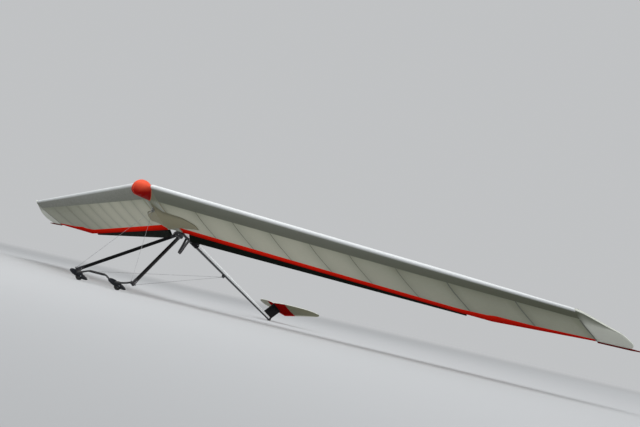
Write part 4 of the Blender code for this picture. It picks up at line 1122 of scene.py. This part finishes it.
def pod(side, sign):
    """Fairing with an arch for the wheel. Gives back its frame."""
    clamp = Vector((sign * WHEEL_X, BAR_WHEEL_Y, BAR_WHEEL_Z))
    pod_frame = Matrix.Translation(clamp) @ Matrix.Rotation(math.radians(POD_TILT), 4, "X")
    rows = []
    for at in sorted(set(span(-.100, .26, 46) + list(POD_AT))):
        size = pod_size(at)
        rows.append([pod_frame @ Vector((POD_WIDTH / 2 * size ** .7 * c, at, POD_HEIGHT / 2 * size * s))
                     for c, s in circle(40)])
    shell = grid("pod_skin_" + side, rows, POD_PAINT, nodes=["wheel_pod_" + side], sharp=40)
    carve_box(shell, pod_frame, (0, WHEEL_AFT, 0), (WHEEL_WIDTH + .012, 2 * WHEEL_RADIUS + .014, .18))
    parts = []
    for s in (1, -1):
        parts.append([[pod_frame @ Vector((s * (POD_WIDTH / 2 * pod_size(at) ** .7 + dx), at, dz))
                       for dx, dz in ((-.0006, -.0012), (.0007, -.0012), (.0007, .0012), (-.0006, .0012))]
                      for at in span(-.095, .25, 40)])
    merged("pod_seam_" + side, parts, TYRE)
    wall = POD_WIDTH / 2 * math.cos(math.asin(WHEEL_DROP / (POD_HEIGHT / 2)))
    places = [(pod_frame @ Vector((s * wall, WHEEL_AFT, -WHEEL_DROP)), (s, 0, 0)) for s in (1, -1)]
    round_heads("pod_screws_" + side, places, STEEL, radius=.0075, height=.003)
    return pod_frame


def wheel(side, pod_frame):
    """Grooved tyre and a six-spoked hub inside the pod."""
    middle = pod_frame @ Vector((0, WHEEL_AFT, -WHEEL_DROP))
    wheel_frame = Matrix.Translation(middle) @ axes((0, 1, 0), (0, 0, 1), (1, 0, 0))
    w, r = WHEEL_WIDTH / 2, WHEEL_RADIUS
    # Sidewall and shoulder, three ribs of tread with a groove beside each, and back down the other side
    profile = [(.030, w * .8), (r * .55, w * .97), (r * .75, w), (r * .88, w), (r * .94, w * .82),
               (r * .975, w * .58)]
    for k in (.50, .16, -.22):
        profile += [(r * (1 - .012 * k * k), w * k), (r * .975, w * (k - .06)), (r * .975, w * (k - .22)),
                    (r * (1 - .012 * (k - .28) ** 2), w * (k - .28))]
    profile += [(r * .975, -w * .60), (r * .94, -w * .82), (r * .88, -w), (r * .75, -w), (r * .55, -w * .97),
                (.030, -w * .8), (.030, w * .8)]
    grid("tyre_" + side, revolve(profile, wheel_frame, 64), TYRE, "wheel_" + side, ["wheel_" + side],
         caps=False, sharp=30, tone=lambda i, j: 1.0 if 5 < i < 20 else 0.0)
    # Bore, boss, web and rim
    half = [(.0056, w * .95), (.010, w * .95), (.011, w * .55), (.024, w * .42), (.026, w * .74),
            (.0297, w * .74)]
    profile = half + [(q, -h) for q, h in reversed(half)] + half[:1]
    grid("hub_" + side, revolve(profile, wheel_frame, 40), HUB, "wheel_" + side, ["wheel_hub_" + side],
         caps=False, sharp=30)
    parts = []
    for c, s in circle(6):
        ahead, beside = Vector((c, s, 0)), Vector((-s, c, 0))
        for face in (1, -1):
            parts.append([[wheel_frame @ (ahead * q + beside * u + Vector((0, 0, face * (w * .50 + h))))
                           for u, h in ((-.0022, -.0014), (.0022, -.0014), (.0014, .0016), (-.0014, .0016))]
                          for q in (.0112, .0240)])
    merged("hub_spokes_" + side, parts, HUB, "wheel_" + side)


for side, sign in SIDES:
    wheel(side, pod(side, sign))

# Hang loop: a strap over the keel whose two falls meet in a bight
snug = KEEL_RADIUS + .0006
path = [(snug * c, snug * s) for c, s in map(polar, range(-20, 201, 10))]
fall = [(.0375, -.06), (.030, -.11), (.0235, -.18), (.0195, .045 - LOOP_DROP), (.0165, .020 - LOOP_DROP),
        (.010, .0045 - LOOP_DROP)]
path += [(-x, z) for x, z in fall] + [(0, .0018 - LOOP_DROP)] + fall[::-1]
rows, count = [], len(path)
for k, (x, z) in enumerate(path):
    ahead = Vector((path[(k + 1) % count][0] - path[k - 1][0], 0, path[(k + 1) % count][1] - path[k - 1][1]))
    out = Vector((ahead.z, 0, -ahead.x)).normalized()
    rows.append([Vector((x, LOOP_Y + dy, z)) + out * lift
                 for dy, lift in ((-.0222, 0), (-.0222, .0024), (-.020, .0030), (.020, .0030), (.0222, .0024),
                                  (.0222, 0))])
grid("hang_strap", rows + [rows[0]], STRAP, nodes=["hang_loop"], caps=False, sharp=60)

# Terminals of the four stays: swaged sleeves, a thimble eye and a pin at each end
under = skin(0, (TANG_Y - .01 - LEADING_START) / (TRAIL_START - LEADING_START), False).z
low_z = under - FAIRING_GAP - .0035 - .30 * FAIRING_DEPTH
rear_radius = lerp(REAR_TANG_Y, (KEEL_REAR, BOOM_REAR), (BOOM_FRONT_RADIUS, BOOM_REAR_RADIUS))
sleeves, eyes, pins = [], [], []
for sign in (1, -1):
    corner = downtube_line(sign)[0]
    # Half of the tang's plate, the stay's own radius and a gap on each side of the stay
    beside = .004 + .002 * 1.06 + 2 * GAP
    foot = corner - Vector((sign * (beside + .0004), 0, 0))
    front_end = Vector((sign * beside, TANG_Y, low_z - .036))
    rear_end = Vector((sign * beside, REAR_TANG_Y, -rear_radius - .024))
    for aft, high in ((-.044, front_end), (.044, rear_end)):
        low = foot + Vector((0, aft, 0))
        pull = (high - low).normalized()
        for end, way in ((low, pull), (high, -pull)):
            flat_way = (Vector((1, 0, 0)) - way * way.x).normalized()
            across = way.cross(flat_way)
            for a, b, wide in ((.026, .050, .0046), (.056, .066, .0034)):
                sleeves.append([[end + way * q + (flat_way * c * .62 + across * s) * wide * grow
                                 for c, s in circle(16)]
                                for q, grow in ((a, .7), (a + .002, 1), (b - .002, 1), (b, .7))])
            eye = [end + way * (.011 - .013 * c) + across * (.0065 * s * (1 + .25 * c))
                   for c, s in circle(20)]
            eyes.append(tube(eye + [eye[0]], .0016, 8))
            pins.append([[end + way * .001 + Vector((sign * q, c * g, s * g)) for c, s in circle(12)]
                         for q, g in ((-.0166, .0036), (-.014, .0036), (-.014, .0026), (.0040, .0026),
                                      (.0040, .0048), (.0070, .0048))])
merged("stay_sleeves", sleeves, STEEL)
merged("stay_eyes", eyes, CABLE)
merged("stay_pins", pins, STEEL)

# Bolt heads on the apex yoke, the corners and the boom sleeve
places = [(Vector((x, APEX_Y + s * .0452, APEX_Z + .014)), (0, s, 0)) for x in (-.052, .052) for s in (1, -1)]
for sign in (1, -1):
    corner, end, climb = downtube_line(sign)
    out = (Vector((sign, 0, 0)) - climb * (sign * climb.x)).normalized()
    places += [(corner + climb * q + out * (s * .0196), out * s) for q in (.018, .052) for s in (1, -1)]
places += [(Vector((s * (KEEL_RADIUS + .0036), KEEL_REAR + dy, 0)), (s, 0, 0))
           for dy in (-.04, .04) for s in (1, -1)]
round_heads("frame_bolts", places, STEEL, radius=.0062, height=.0046)

# Nodes of the frame that keep their shape
for name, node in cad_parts.items():
    if name.startswith(("stay_front", "stay_rear")):
        look = CABLE
    elif name.startswith(("front_tang", "axle", "spoiler_pin")):
        look = STEEL
    elif name.startswith(("apex_yoke", "corner", "rear_tang", "flap_hinge")):
        look = ANODISED
        edge = node.modifiers.new("soft_edge", "BEVEL")
        edge.width = .0006 if name.startswith("flap") else .0012
        edge.segments = 2
        edge.limit_method = "ANGLE"
        edge.angle_limit = math.radians(40)
        edge.harden_normals = True
    else:
        continue
    for place in node.material_slots:
        place.material = look

# Floor and backdrop
work = bmesh.new()
bmesh.ops.create_circle(work, cap_ends=True, radius=400, segments=96)
floor = linked("floor", mesh_of("floor", work))
paint = Paint("floor_look")
speckle = paint.math("MULTIPLY", paint.noise(paint.place, 3, 4), .05)
matte = paint.done(Base_Color=paint.mix(speckle, (.52, .53, .54), (.46, .47, .48)), Roughness=.85,
                   Normal=paint.bump(paint.noise(paint.place, 40, 3), .001, .3))
distance = paint.set(paint.node("ShaderNodeVectorMath", operation="LENGTH"), _0=paint.place).outputs["Value"]
glow = paint.set(paint.node("ShaderNodeEmission"), Color=(*BACKDROP, 1), Strength=1.0)
blend = paint.set(paint.node("ShaderNodeMixShader"), _0=paint.ramp(distance, 10, 30),
                  _1=paint.shader.outputs[0], _2=glow.outputs[0])
paint.tree.links.new(blend.outputs[0], paint.tree.nodes["Material Output"].inputs["Surface"])
floor.data.materials.append(matte)

world = bpy.data.worlds.new("backdrop")
bpy.context.scene.world = world
world.use_nodes = True
sky = world.node_tree.nodes["Background"]
sky.inputs["Color"].default_value = (*BACKDROP, 1)
sky.inputs["Strength"].default_value = 1.0
